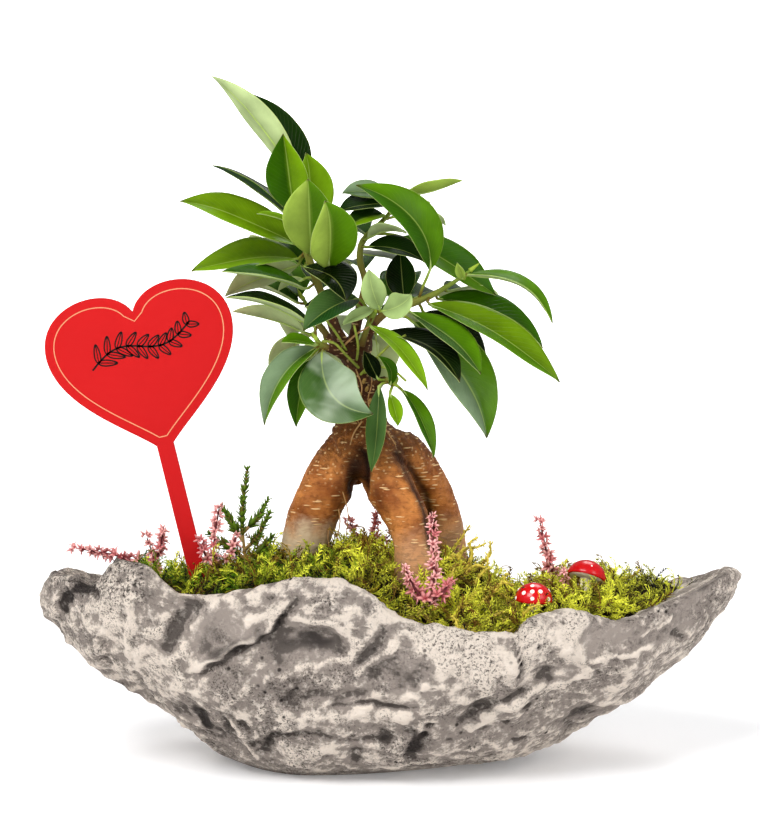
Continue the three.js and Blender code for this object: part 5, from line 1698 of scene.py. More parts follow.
@dataclass(frozen=True)
class Leaf:
    """A leaf: where its stalk leaves the twig, its blade, and its colours.

    The places are read in the front view. left and right are the upper side's halves as one looks
    from the stalk to the tip, with the upper side up. Without right, both are alike. The tones also
    paint the light and shade on each leaf, and the gloss number adds blotches of painted highlight.
    """

    at: float
    base: Triple
    tip: Triple
    width: float
    face: Triple
    bow: Triple = (0, 0, 2)
    fold: float = 18
    left: Tone = Tone.MID
    right: Tone | None = None
    under: Tone = Tone.PALE
    painted_gloss: float = 0.0


class Blade:
    """Builds one leaf's blade and stalk."""

    OUTLINE = Chain([
        (0, 0.05), (0.06, 0.3), (0.2, 0.72), (0.33, 0.93), (0.47, 1), (0.6, 0.94), (0.76, 0.68),
        (0.87, 0.4), (0.94, 0.19), (0.98, 0.07), (1, 0.02),
    ])
    ALONG = 22
    ACROSS = 6
    THICKNESS = 0.6
    STALK = 0.75
    LONG_STALK = 9.0
    STALK_BEND = 0.55
    STALK_LIFT = 0.06

    def __init__(self, leaf: Leaf, seed: int) -> None:
        """Places the midrib.

        Args:
            leaf: The leaf.
            seed: A number that sets its waves.
        """
        self.leaf = leaf
        self.chance = random.Random(seed)
        self.start, self.end = EYE.place(leaf.base), EYE.place(leaf.tip)
        self.middle = self.start.lerp(self.end, 0.5) + 2 * Vector(leaf.bow)
        self.raised = math.radians(leaf.fold)
        self.phase = self.chance.uniform(0, 6)
        self.size = (self.end - self.start).length

    def midrib(self, t: float) -> Vector:
        """The midrib's place at t, from 0 at the stalk to 1 at the tip."""
        return self.start * (1 - t) ** 2 + self.middle * (2 * t * (1 - t)) + self.end * t**2

    def axes(self, t: float) -> tuple[Vector, Vector]:
        """The upper side's normal and the way to the right half, at t."""
        run = (self.middle - self.start) * (1 - t) + (self.end - self.middle) * t
        tangent = run.normalized()
        normal = Vector(self.leaf.face)
        normal = (normal - tangent * normal.dot(tangent)).normalized()
        return normal, tangent.cross(normal)

    def surface(self, t: float, s: float) -> tuple[Vector, Vector]:
        """A place on the blade's middle sheet.

        Args:
            t: Along the midrib.
            s: Across, -1 at the left margin and 1 at the right one.

        Returns:
            The place and the upper side's normal there.
        """
        normal, side = self.axes(t)
        half = self.leaf.width / 2 * float(self.OUTLINE.at(t))
        out = abs(s)
        lift = half * math.sin(self.raised) * (0.5 * out + 0.5 * out * out)
        lift += 0.03 * half * math.sin(t * 11 + self.phase + (1.7 if s > 0 else 0)) * out * out
        lift -= 0.35 * math.exp(-((out * half / 0.7) ** 2))
        centre = self.midrib(t)
        centre += normal * (0.012 * self.size * math.sin(t * 5 + self.phase) * t * (1 - t) * 4)
        return centre + side * (s * half * math.cos(self.raised)) + normal * lift, normal

    def colour(self, t: float, s: float, upper: bool) -> list[float]:
        """The tint at a place.

        Args:
            t: Along the midrib.
            s: Across.
            upper: Whether it is on the upper side.

        Returns:
            The linear colour.
        """
        if not upper:
            return list(linear(*self.leaf.under.value))
        left, right = linear(*self.leaf.left.value), linear(*(self.leaf.right or self.leaf.left).value)
        made = mixed(left, right, ease(s, -0.12, 0.12))
        shade = 1.0 - 0.18 * ease(t, 0.5, 0) + 0.1 * ease(t, 0.7, 1.0)
        lit = [value * shade for value in made[:3]]
        return mixed(lit, linear(74, 62, 40), ease(t, 0.95, 0.985)) + [1.0]

    def blade(self, shape: Shape) -> None:
        """Adds the blade as a thin closed shell.

        Args:
            shape: The shoot's mesh.
        """
        sheets: list[list[list[int]]] = []
        for upper in (True, False):
            rows = []
            for i in range(self.ALONG + 1):
                t = i / self.ALONG
                row = []
                for j in range(-self.ACROSS, self.ACROSS + 1):
                    s = j / self.ACROSS
                    place, normal = self.surface(t, s)
                    thick = self.THICKNESS * (1 - 0.55 * abs(s) ** 3) / 2
                    place = place + normal * (thick if upper else -thick)
                    tint = self.colour(t, s, upper)
                    numbers = {"along": t, "across": s, "upper": float(upper), "painted_gloss": self.leaf.painted_gloss}
                    row.append(shape.add(place, tint, **numbers))
                rows.append(row)
            sheets.append(rows)
        for rows in sheets:
            shape.skin(rows, closed=False)
        rims = []
        for rows in sheets:
            left_side = [row[0] for row in rows]
            right_side = [row[-1] for row in rows]
            rims.append(rows[0] + right_side[1:] + rows[-1][::-1][1:] + left_side[::-1][1:-1])
        shape.bridge(rims[0], rims[1])

    def stalk(self, shape: Shape, origin: Vector) -> None:
        """Adds the stalk, which runs on under the blade as its raised rib.

        Args:
            shape: The shoot's mesh.
            origin: Where it leaves the twig.
        """
        points = [origin]
        reach = (self.start - origin).length
        if reach > self.LONG_STALK:
            bend = origin.lerp(self.start, self.STALK_BEND)
            bend.z += reach * self.STALK_LIFT
            points.append(bend)
        points.append(self.start)
        shares = [0.12, 0.3, 0.5, 0.7, 0.88]
        for share in shares:
            normal, _ = self.axes(share)
            points.append(self.surface(share, 0)[0] - normal * (self.THICKNESS / 2))
        route = Route(points)
        to_blade = reach / route.length

        def radius(share: float) -> float:
            """Full as far as the blade, then tapering."""
            if share < to_blade:
                return self.STALK
            return self.STALK * (1 - 0.85 * (share - to_blade) / (1 - to_blade))

        def tint(share: float) -> Sequence[float]:
            """Brown-green at the twig, then yellow-green."""
            if share > to_blade:
                return linear(176, 200, 110)
            return linear(140, 160, 60) if share > 0.12 else linear(120, 100, 48)

        shape.tube(route, radius, 16, 7, tint=tint, across=0.3, upper=1.0)


@dataclass
class Shoot:
    """A leafy shoot: its twig with nodes and an end bud, and its leaves."""

    name: str
    slot: str
    line: tuple[Triple, ...]
    radii: tuple[float, ...]
    leaves: tuple[Leaf, ...]
    bud: float = 5.0

    def build(self, finish: Material) -> None:
        """Makes the shoot and dresses it.

        Args:
            finish: The leaves' material.
        """
        shape = Shape("along", "across", "upper", "painted_gloss")
        route = seen(self.line)
        girth = tapering(self.radii)

        def radius(share: float) -> float:
            """The twig's radius, thicker at each leaf's node."""
            knot = sum(math.exp(-(((share - leaf.at) * route.length / 1.6) ** 2)) for leaf in self.leaves)
            return max(0.55, float(girth.at(share))) * (1 + 0.16 * min(1.0, knot))

        def tint(share: float) -> list[float]:
            """Brown wood at the foot, green at the end."""
            return mixed(linear(122, 92, 54), linear(132, 160, 62), share)

        shape.tube(route, radius, max(24, int(route.length / 1.2)), 10, tint=tint, across=0.3, upper=0.3)
        end, way = route.at(1), route.way(1)
        bud = Route([end - way * 1.5, end + way * self.bud * 0.5, end + way * self.bud])
        shape.tube(bud, lambda share: 1.25 * (1 - share) ** 0.7 + 0.08, 8, 8,
                   tint=lambda share: linear(168, 192, 70), across=0.3, upper=1.0)
        for number, leaf in enumerate(self.leaves):
            blade = Blade(leaf, number + len(self.name) * 17)
            blade.blade(shape)
            blade.stalk(shape, route.at(leaf.at))
        dress(shape.piece(self.name.replace("shoot", "leaves"), finish), self.slot, self.name)


T = Tone
SHOOTS = (
    Shoot(
        "shoot_leader", "leaf",
        ((-28.5, 219, -1.5), (-35, 235.5, -3), (-40, 249.5, -2), (-43.5, 260.5, 0), (-46, 270, 1),
         (-46, 280, 2), (-45, 291, 3)),
        (2.3, 2, 1.8, 1.6, 1.4, 1.1, 0.5),
        (
            Leaf(0.9, (-47, 290, 2), (-89, 342.5, -4), 18, (0.35, 0.75, 0.5), (3, 0, 3), under=T.PALE),
            Leaf(0.93, (-41, 291, 9), (-69, 333.5, 14), 21, (0.5, -0.8, 0.3), (1.5, 0, 0), left=T.DARK),
            Leaf(0.74, (-48, 274, -3), (-53.5, 313.5, -14), 24, (-0.2, -0.95, 0.2), (0, 5, 0), 26, T.MID,
                 T.FRESH),
            Leaf(0.66, (-42, 267, 4), (-42, 304, 2), 24, (0.3, -0.9, 0.3), (2, 3, 0), left=T.FRESH),
            Leaf(0.5, (-39.5, 253, -7), (-41, 291, -25), 27, (-0.1, -0.9, 0.35), (0, -4, 2), 20, T.LIME,
                 T.GREEN),
            Leaf(0.36, (-31, 246.5, -14), (-32.5, 280, -38), 27, (0.2, -0.9, 0.3), (2, -4, 2), 24, T.LIME,
                 T.GREEN),
            Leaf(0.72, (-48, 270, 4), (-88.5, 298, 16), 20, (0.3, 0.05, 0.95), (2, 0, 2), left=T.DARK,
                 under=T.TEAL),
            Leaf(0.58, (-46, 258, 1), (-105, 280, -4), 25, (0.1, -0.55, 0.8), (0, 0, 3), left=T.FRESH,
                 right=T.OLIVE),
            Leaf(0.7, (-49, 269.5, -5), (-66.5, 274, -11), 5, (0, -0.5, 0.8), (0, 0, 1), left=T.FRESH),
            Leaf(0.52, (-46, 251, 3), (-99.5, 245, 10), 26, (0, -0.5, 0.85), (0, 0, 3), left=T.FRESH,
                 right=T.OLIVE),
            Leaf(0.5, (-46, 248, 8), (-82.5, 232.5, 22), 18, (0.3, 0.6, 0.7), left=T.GREEN),
            Leaf(0.3, (-42, 236, -5), (-84, 245, -18), 19, (0, -0.25, 0.95), left=T.GREEN, right=T.MID),
            Leaf(0.42, (-43, 247, -10), (-22, 230, -32), 24, (0.1, -0.4, 0.9), (4, -3, 3), left=T.DEEP),
            Leaf(0.32, (-43, 241, 5), (-56, 235.5, 12), 8, (0, 0.4, 0.9), (0, 0, 1), left=T.LIME),
            Leaf(0.6, (-41, 263, 8), (-37, 270, 60), 25, (0, 0.25, 0.95), (0, 0, 6)),
            Leaf(0.45, (-43, 247, 8), (-70, 258, 44), 25, (-0.1, 0.2, 0.95), (0, 0, 6)),
            Leaf(0.28, (-35, 236, 5), (-32, 238, 58), 24, (0.1, 0.2, 0.95), (0, 0, 5)),
        ),
    ),
    Shoot(
        "shoot_centre", "leaf",
        ((-14.5, 228, 8.5), (-12.5, 240, 10), (-15, 250, 9), (-14, 259, 8), (-8, 266, 9), (-1, 273, 11),
         (3, 281, 12)),
        (2, 1.8, 1.6, 1.5, 1.3, 1, 0.5),
        (
            Leaf(0.9, (6, 283, 14), (36, 290.5, 20), 16, (0, 0.4, 0.9), (0, 0, -1), under=T.LIME),
            Leaf(0.8, (8, 272, 18), (28, 268, 30), 14, (0.3, 0.2, 0.9), (0, 0, 3), left=T.GREEN),
            Leaf(0.62, (6, 262, 10), (53, 233, 14), 25, (0.3, -0.6, 0.7), (2, 0, 0), left=T.MID,
                 right=T.GREEN),
            Leaf(0.5, (-11, 257, 3), (17.5, 249.5, -5), 17, (0.1, -0.5, 0.85), (0, 0, 3), left=T.DARK),
            Leaf(0.55, (-11, 261.5, 3), (8.5, 264, -8), 14, (0, 0.3, 0.95), (0, 0, 3), left=T.LIME,
                 right=T.GREEN),
            Leaf(0.42, (-16, 254.5, 13), (5, 250, 34), 12, (0.2, 0.2, 0.95), (0, 0, 1), left=T.LILAC,
                 under=T.LILAC),
            Leaf(0.86, (0, 278, 8), (-26, 274.5, 2), 18, (-0.1, -0.45, 0.85), left=T.DARK),
            Leaf(0.78, (-3, 273, 5), (-22, 266, -6), 14, (0, -0.5, 0.85), left=T.FRESH, right=T.DARK),
            Leaf(0.94, (-1, 283, 12), (-24, 284, 6), 13, (0, -0.7, 0.7), (0, 0, 1.5), left=T.SAGE,
                 right=T.SILVER),
            Leaf(0.84, (2, 275, 16), (14, 268, 66), 25, (0.2, 0.2, 0.95), (0, 0, 6)),
            Leaf(0.6, (-12, 263, 14), (-33, 266, 52), 24, (-0.2, 0.2, 0.95), (0, 0, 5)),
            Leaf(0.35, (-13, 246, 14), (-26, 244, 62), 25, (-0.1, 0.2, 0.95), (0, 0, 5)),
        ),
    ),
    Shoot(
        "shoot_right", "leaf",
        ((-8.5, 218.5, -2.5), (-2, 224, -4), (6, 227, -5), (12.5, 229.5, -5), (20, 232.5, -4),
         (28, 237, -2), (36.5, 242.5, 0), (41, 246, 1)),
        (2.2, 1.9, 1.8, 1.7, 1.4, 1.2, 1, 0.5),
        (
            Leaf(0.45, (20, 245.5, -7), (-17, 288, -14), 24, (0.4, -0.75, 0.5), (10, -4, 5), left=T.MID,
                 right=T.GREEN),
            Leaf(0.9, (38, 243, 0), (81.5, 219, -6), 16, (0.2, -0.2, 0.95), (5, 0, 7), left=T.GREEN,
                 right=T.FRESH),
            Leaf(0.62, (24, 231, 4), (76.5, 206.5, 12), 22, (0.25, -0.4, 0.85), (4, 0, 6), left=T.MID),
            Leaf(0.56, (19, 228.5, -9), (85, 189.5, -16), 25, (0.3, -0.5, 0.8), (4, -2, 3), left=T.OLIVE,
                 right=T.GREEN),
            Leaf(0.3, (10, 224.5, -11), (45.5, 193.5, -34), 21, (0.3, -0.45, 0.85), (3, -3, 2),
                 left=T.GREEN, right=T.SAGE),
            Leaf(0.44, (17, 224, 3), (46, 191, 6), 20, (0.45, -0.3, 0.8), (7, 0, 5), left=T.DEEP),
            Leaf(0.22, (12, 219, -8), (48.5, 161.5, -8), 33, (0.5, -0.7, 0.4), (6, -3, 3), 20, T.GREEN,
                 T.SILVER, painted_gloss=0.04),
            Leaf(0.36, (7, 230, 6), (5, 255, 13), 17, (-0.2, -0.9, 0.2), (0, 0, 0), 26, T.DEEP, T.DARK),
            Leaf(0.94, (36.5, 240.5, -2), (33.5, 249, -5), 5, (-0.3, -0.8, 0.3), (0, 0, 0), left=T.LIME),
            Leaf(0.4, (12, 231, 4), (30, 227, 50), 24, (0.2, 0.2, 0.95), (0, 0, 6)),
            Leaf(0.7, (28, 235, 5), (50, 222, 48), 24, (0.2, 0.2, 0.95), (2, 0, 6)),
            Leaf(0.25, (3, 228, 4), (8, 243, 46), 22, (0, 0.1, 0.95), (0, 0, 5)),
        ),
    ),
    Shoot(
        "shoot_young", "young_leaf",
        ((-14, 208, -4), (-12, 215, -9), (-9, 222, -14), (-6.5, 226, -17)),
        (1.8, 1.5, 1.3, 0.8),
        (
            Leaf(0.95, (-5, 226, -18), (-10.5, 246, -28), 13, (0.1, -0.9, 0.2), (-1, -2, 0), left=T.YOUNG),
            Leaf(0.95, (-4, 225, -18), (10.5, 233.5, -28), 14, (-0.1, -0.9, 0.3), (2, -2, -1), left=T.YOUNG),
            Leaf(0.85, (-8, 226, -17), (-24, 218, -30), 7, (0, -0.8, 0.5), (0, 0, 1), left=T.YOUNG),
            Leaf(0.75, (-10, 217.5, -20), (19, 185.5, -44), 11, (0.3, -0.6, 0.7), (2, -2, 3), left=T.FRESH),
            Leaf(0.6, (-4, 214, -16), (35, 189.5, -38), 22, (0.3, -0.35, 0.9), (4, 0, 5), left=T.DEEP),
            Leaf(0.8, (-15.5, 231, -17), (-43.5, 215, -32), 20, (-0.3, -0.7, 0.6), (0, -2, 4), left=T.TEAL,
                 right=T.SAGE),
            Leaf(0.7, (-20, 231, -14), (-43, 227, -20), 9, (0, -0.4, 0.9), (0, 0, 1), left=T.DEEP),
        ),
        bud=2.5,
    ),
    Shoot(
        "shoot_low_left", "leaf",
        ((-31, 206.5, -9), (-35, 208.5, -11.5), (-37.5, 212, -12)),
        (1.7, 1.4, 0.8),
        (
            Leaf(0.9, (-38, 217.5, -10), (-82, 232, -14), 22, (0, -0.1, 1), (0, 0, 3), left=T.LIME,
                 right=T.DARK),
            Leaf(0.8, (-42, 214, -2), (-78.5, 225, 6), 18, (0, 0.5, 0.85)),
            Leaf(0.6, (-37, 208, -15), (-54.5, 209.5, -26), 11, (0, -0.5, 0.85), (0, 0, 1), left=T.GREEN),
            Leaf(0.5, (-37, 206.5, -13), (-63, 168, -20), 22, (-0.6, -0.55, 0.5), (-3, -2, 6), left=T.GREEN,
                 right=T.SILVER),
            Leaf(0.2, (-34, 204.5, -14), (-8.5, 173.5, -42), 31, (-0.1, -0.85, 0.45), (-7, -4, -6),
                 left=T.SILVER, right=T.SAGE, painted_gloss=0.38),
            Leaf(0.35, (-37, 201, -10), (-47, 167, -12), 14, (-0.3, -0.8, 0.2), (-2, 0, 2), left=T.GREEN,
                 right=T.MID),
            Leaf(0.3, (-39, 203, -4), (-48, 196, 2), 5, (0, -0.6, 0.7), (0, 0, 0), left=T.DARK),
        ),
        bud=3.0,
    ),
    Shoot(
        "shoot_low_right", "leaf",
        ((-3.5, 190, -12), (0, 190, -15), (3, 188, -17)),
        (1.6, 1.4, 0.8),
        (
            Leaf(0.6, (-5.5, 187.5, -21), (-9.5, 144.5, -34), 11, (-0.3, -0.9, 0.1), (1, -2, 0), left=T.SAGE),
            Leaf(0.8, (0, 183.5, -19), (4, 167.5, -24), 8, (0.4, -0.9, 0.1), (0.5, -1, 0), left=T.FRESH),
            Leaf(0.9, (6, 185.5, -15), (22, 151.5, -20), 13, (0.55, -0.5, 0.6), (2, 0, 2), left=T.GREEN,
                 right=T.MID),
            Leaf(0.4, (-6, 191, -16), (-13, 205, -19), 9, (0, -0.8, 0.4), (0, 0, 0), left=T.DEEP),
            Leaf(0.5, (0, 188, -18), (-6, 202.5, -28), 7, (0.3, -0.8, 0.4), (3, -1, 1), left=T.MID),
            Leaf(0.7, (1, 187, -13), (2, 194, -6), 6, (0, -0.6, 0.6), (0, 0, 0), left=T.LIME),
        ),
        bud=2.5,
    ),
    Shoot(
        "shoot_back", "leaf",
        ((-11, 209, 20), (-9.5, 217, 29), (-7.5, 225, 36), (-7, 230, 40)),
        (1.9, 1.6, 1.3, 0.7),
        (
            Leaf(0.95, (-6, 230, 42), (0, 236, 80), 24, (0.1, -0.1, 0.95), (0, 0, 5)),
            Leaf(0.8, (-4, 223, 38), (26, 207, 74), 25, (0.3, 0.1, 0.95), (0, 0, 6), right=T.GREEN),
            Leaf(0.7, (-11, 221, 36), (-20, 212, 80), 25, (-0.3, 0.1, 0.95), (0, 0, 6), left=T.GREEN,
                 right=T.MID),
            Leaf(0.45, (-12, 211, 32), (-24, 180, 60), 26, (-0.1, 0.8, 0.5), (0, 3, 5)),
            Leaf(0.55, (-7, 213, 34), (-6, 184, 66), 24, (0.2, 0.8, 0.5), (0, 3, 5)),
        ),
    ),
    Shoot(
        "shoot_back_left", "leaf",
        ((-30, 211, 20), (-36, 219, 27), (-41, 227, 32), (-44, 232, 35)),
        (1.9, 1.6, 1.3, 0.7),
        (
            Leaf(0.95, (-45, 232, 37), (-56, 249, 79), 25, (-0.1, -0.1, 0.95), (0, 0, 5), right=T.GREEN),
            Leaf(0.85, (-46, 229, 34), (-80, 236, 54), 24, (-0.1, 0.1, 0.95), (0, 0, 5)),
            Leaf(0.6, (-38, 221, 33), (-50, 210, 78), 25, (-0.1, 0.3, 0.9), (0, 0, 6)),
            Leaf(0.4, (-38, 214, 26), (-57, 187, 46), 20, (-0.5, 0.5, 0.6), (-3, 2, 5)),
            Leaf(0.25, (-32, 208, 27), (-38, 176, 52), 24, (0.1, 0.8, 0.5), (0, 3, 5)),
        ),
    ),
)


class SprigKind(Enum):
    """The two kinds of sprig."""

    PINK = "pink"
    NEEDLE = "needle"


@dataclass(frozen=True)
class Sprig:
    """A sprig: a main stem rooted in the moss and the stems that branch from it, in the front view."""

    name: str
    kind: SprigKind
    seed: int
    stems: tuple[tuple[Triple, ...], ...]
    bare: float = 0.28


SPRIGS = (
    Sprig("pink_sprig_lying", SprigKind.PINK, 11,
          (((-112, 84, 0), (-119, 96, 2), (-134, 102, 4), (-157, 106.5, 5)),)),
    Sprig("pink_sprig_left", SprigKind.PINK, 12, (
        ((-117, 82, -2), (-117.5, 95, -2), (-119, 104, -2), (-121.5, 111.5, -2)),
        ((-117.8, 98, -2), (-115, 106, -1), (-113.5, 114, 0)))),
    Sprig("pink_sprig_beside", SprigKind.PINK, 13, (
        ((-86, 78, -18), (-87, 92, -18), (-88, 108, -17), (-85.5, 126, -16)),
        ((-87.3, 97, -18), (-92, 102, -20), (-94, 109, -21)),
        ((-87.3, 97, -18), (-80, 103, -20), (-77, 112, -21)))),
    Sprig("pink_sprig_arch", SprigKind.PINK, 14, (
        ((-10, 84, 30), (-9, 106, 30), (-8, 114, 30), (-6, 126, 30)),
        ((-9, 106.5, 30), (-16, 112, 30), (-20, 119, 30)),
        ((-9, 106.5, 30), (-4, 109.5, 32), (0, 113, 33)))),
    Sprig("pink_sprig_front", SprigKind.PINK, 15, (
        ((19, 60, -58), (20, 74, -58), (22, 95, -55), (21, 121, -51)),
        ((20.3, 78, -58), (14, 84, -60), (8, 95, -60)),
        ((20.5, 80, -58), (26, 84, -60), (30, 89, -60)))),
    Sprig("pink_sprig_right", SprigKind.PINK, 16,
          (((85, 70, -6), (84, 84, -6), (79, 102, -5), (75, 119, -4)),)),
    Sprig("pink_sprig_low", SprigKind.PINK, 17, (((91, 66, -30), (90, 79, -30), (87, 93.5, -31)),)),
    Sprig("green_sprig", SprigKind.NEEDLE, 21, (
        ((-71, 80, -8), (-72, 97, -8), (-74, 123, -8), (-71.5, 145, -8)),
        ((-73.6, 110, -8), (-79, 119, -5), (-83.5, 126.5, -3)),
        ((-73.6, 114, -8), (-66, 122, -6), (-61.5, 130, -4)),
        ((-73, 105, -8), (-66, 113, -13), (-61, 123, -16)),
        ((-72.4, 101, -8), (-65, 105, -4), (-60, 111, -2)),
        ((-72.4, 101, -8), (-82, 108, -5), (-89.5, 113, -3))), bare=0.5),
)


@dataclass
class SprigMaker:
    """Grows the sprigs: whorls of small leaves along thin stems."""

    moss: MossBed

    def whorl(self, kind: SprigKind, seed: int, material: Material) -> Piece:
        """One whorl, its stem along Z.

        Args:
            kind: Which kind of leaf it has.
            seed: Its shape's number.
            material: Its finish.

        Returns:
            The template.
        """
        chance = random.Random(seed)
        shape = Shape("rise")
        up = Vector((0, 0, 1))
        if kind is SprigKind.NEEDLE:
            for k in range(5):
                angle = 2 * math.pi * (k + chance.uniform(-0.25, 0.25)) / 5
                out = Vector((math.cos(angle), math.sin(angle), 0))
                way = out + up * chance.uniform(1.0, 2.2)
                pointed_leaf(shape, out * 0.3, way, up - out * 0.2, chance.uniform(5.0, 7.4), 2.3, 0.9)
        else:
            for k in range(3):
                angle = 2 * math.pi * (k + chance.uniform(-0.2, 0.2)) / 3
                out = Vector((math.cos(angle), math.sin(angle), 0))
                heart = (out + up * chance.uniform(0.3, 0.9)).normalized()
                centre = out * 0.9 + up * (1.3 * k + 0.3)
                ring = heart.orthogonal().normalized()
                for petal in range(5):
                    turned = Matrix.Rotation(2 * math.pi * petal / 5 + k, 3, heart) @ ring
                    way = turned + heart * chance.uniform(0.4, 1.1)
                    pointed_leaf(shape, centre, way, heart, chance.uniform(3.9, 5.8), 2.2, 0.8)
        return template(shape, f"whorl_{kind.value}_{seed}", material)

    def tree(self, name: str, whorls: Sequence[Piece], leaf: Material, wood: Material) -> GeometryTree:
        """The tree that turns lines into leafy stems.

        Args:
            name: The tree's name.
            whorls: The whorls that it scatters.
            leaf: The leaves' finish.
            wood: The stems' finish.

        Returns:
            The tree.
        """
        made = GeometryTree(name)
        spacing, seed, thick = made.setting("Spacing"), made.setting("Seed", "Int"), made.setting("Thickness")
        line = made.out("GeometryNodeMeshToCurve", {"Mesh": made.geometry})
        even = made.out("GeometryNodeResampleCurve", {"Curve": line, "Length": spacing}, mode="LENGTH")
        share = made.out("GeometryNodeSplineParameter", {})
        tangent = made.out("GeometryNodeInputTangent", {})
        upright = made.out("FunctionNodeAlignRotationToVector", {"Vector": tangent}, axis="Z")
        roll = made.out("ShaderNodeCombineXYZ", {2: made.random(0.0, 6.283, seed)})
        scale = made.span(share, 0, 1, 1.12, 0.62) * made.random(0.75, 1.15, seed)
        leafy = made.over(made.number("leafy"), 0.5)
        leaves = made.scattered(even, seed, whorls, made.turned(upright, roll), scale, leafy)
        ring = made.out("GeometryNodeCurvePrimitiveCircle", {"Resolution": 7, "Radius": thick})
        inputs = {"Curve": line, "Radius": made.span(share, 0, 1, 1.0, 0.45)}
        sized = made.out("GeometryNodeSetCurveRadius", inputs)
        inputs = {"Curve": sized, "Profile Curve": ring, "Fill Caps": True}
        stem = made.node("GeometryNodeCurveToMesh", inputs)
        if "Scale" in stem.inputs:
            made.feed(stem.inputs["Scale"], made.out("GeometryNodeInputRadius", {}))
        made.finish(made.joined(made.dressed(leaves, leaf), made.dressed(Value(made, stem.outputs[0]), wood)))
        return made

    def lines(self, sprig: Sprig) -> Piece:
        """The stems as lines that carry where leaves grow.

        Args:
            sprig: The sprig.

        Returns:
            An object of edges.
        """
        places, edges, leafy = [], [], []
        for number, stem in enumerate(sprig.stems):
            route = seen(stem)
            steps = max(10, int(route.length / 1.5))
            for k in range(steps + 1):
                share = k / steps
                place = route.at(share)
                clear = place.z > self.moss.height(place.x, place.y) + 1.5
                bare = share < (sprig.bare if number == 0 else 0.15) or not clear
                leafy.append(0.0 if bare else 1.0)
                if k:
                    edges.append((len(places) - 1, len(places)))
                places.append(place * MM)
        mesh = bpy.data.meshes.new(sprig.name)
        mesh.from_pydata(places, edges, [])
        keep(mesh, "leafy", leafy)
        return placed(sprig.name.replace("sprig", "spray"), mesh)

    def build(self) -> None:
        """Grows every sprig."""
        finishes = {
            SprigKind.PINK: SprigFinish("pink_leaf", (150, 52, 58), (248, 184, 178), (200, 100, 104)),
            SprigKind.NEEDLE: SprigFinish("needle_leaf", (34, 52, 8), (92, 122, 22), (112, 98, 40)),
        }
        stalks = {
            SprigKind.PINK: PaintFinish("pink_stem", (112, 52, 58), (84, 40, 40), 0.7),
            SprigKind.NEEDLE: PaintFinish("needle_stem", (150, 122, 72), (112, 90, 52), 0.7),
        }
        for kind in SprigKind:
            leaf, wood = finishes[kind].material(), stalks[kind].material()
            whorls = [self.whorl(kind, seed, leaf) for seed in range(3)]
            tree = self.tree(f"{kind.value}_growth", whorls, leaf, wood)
            pink = kind is SprigKind.PINK
            for sprig in [one for one in SPRIGS if one.kind is kind]:
                piece = self.lines(sprig)
                spacing, thick = (4.0, 0.8) if pink else (1.8, 1.0)
                tree.grow(piece, Spacing=spacing * MM, Seed=sprig.seed, Thickness=thick * MM)
                turn_outwards(piece.data)
                dress(piece, kind.value, sprig.name)
            discard(whorls)


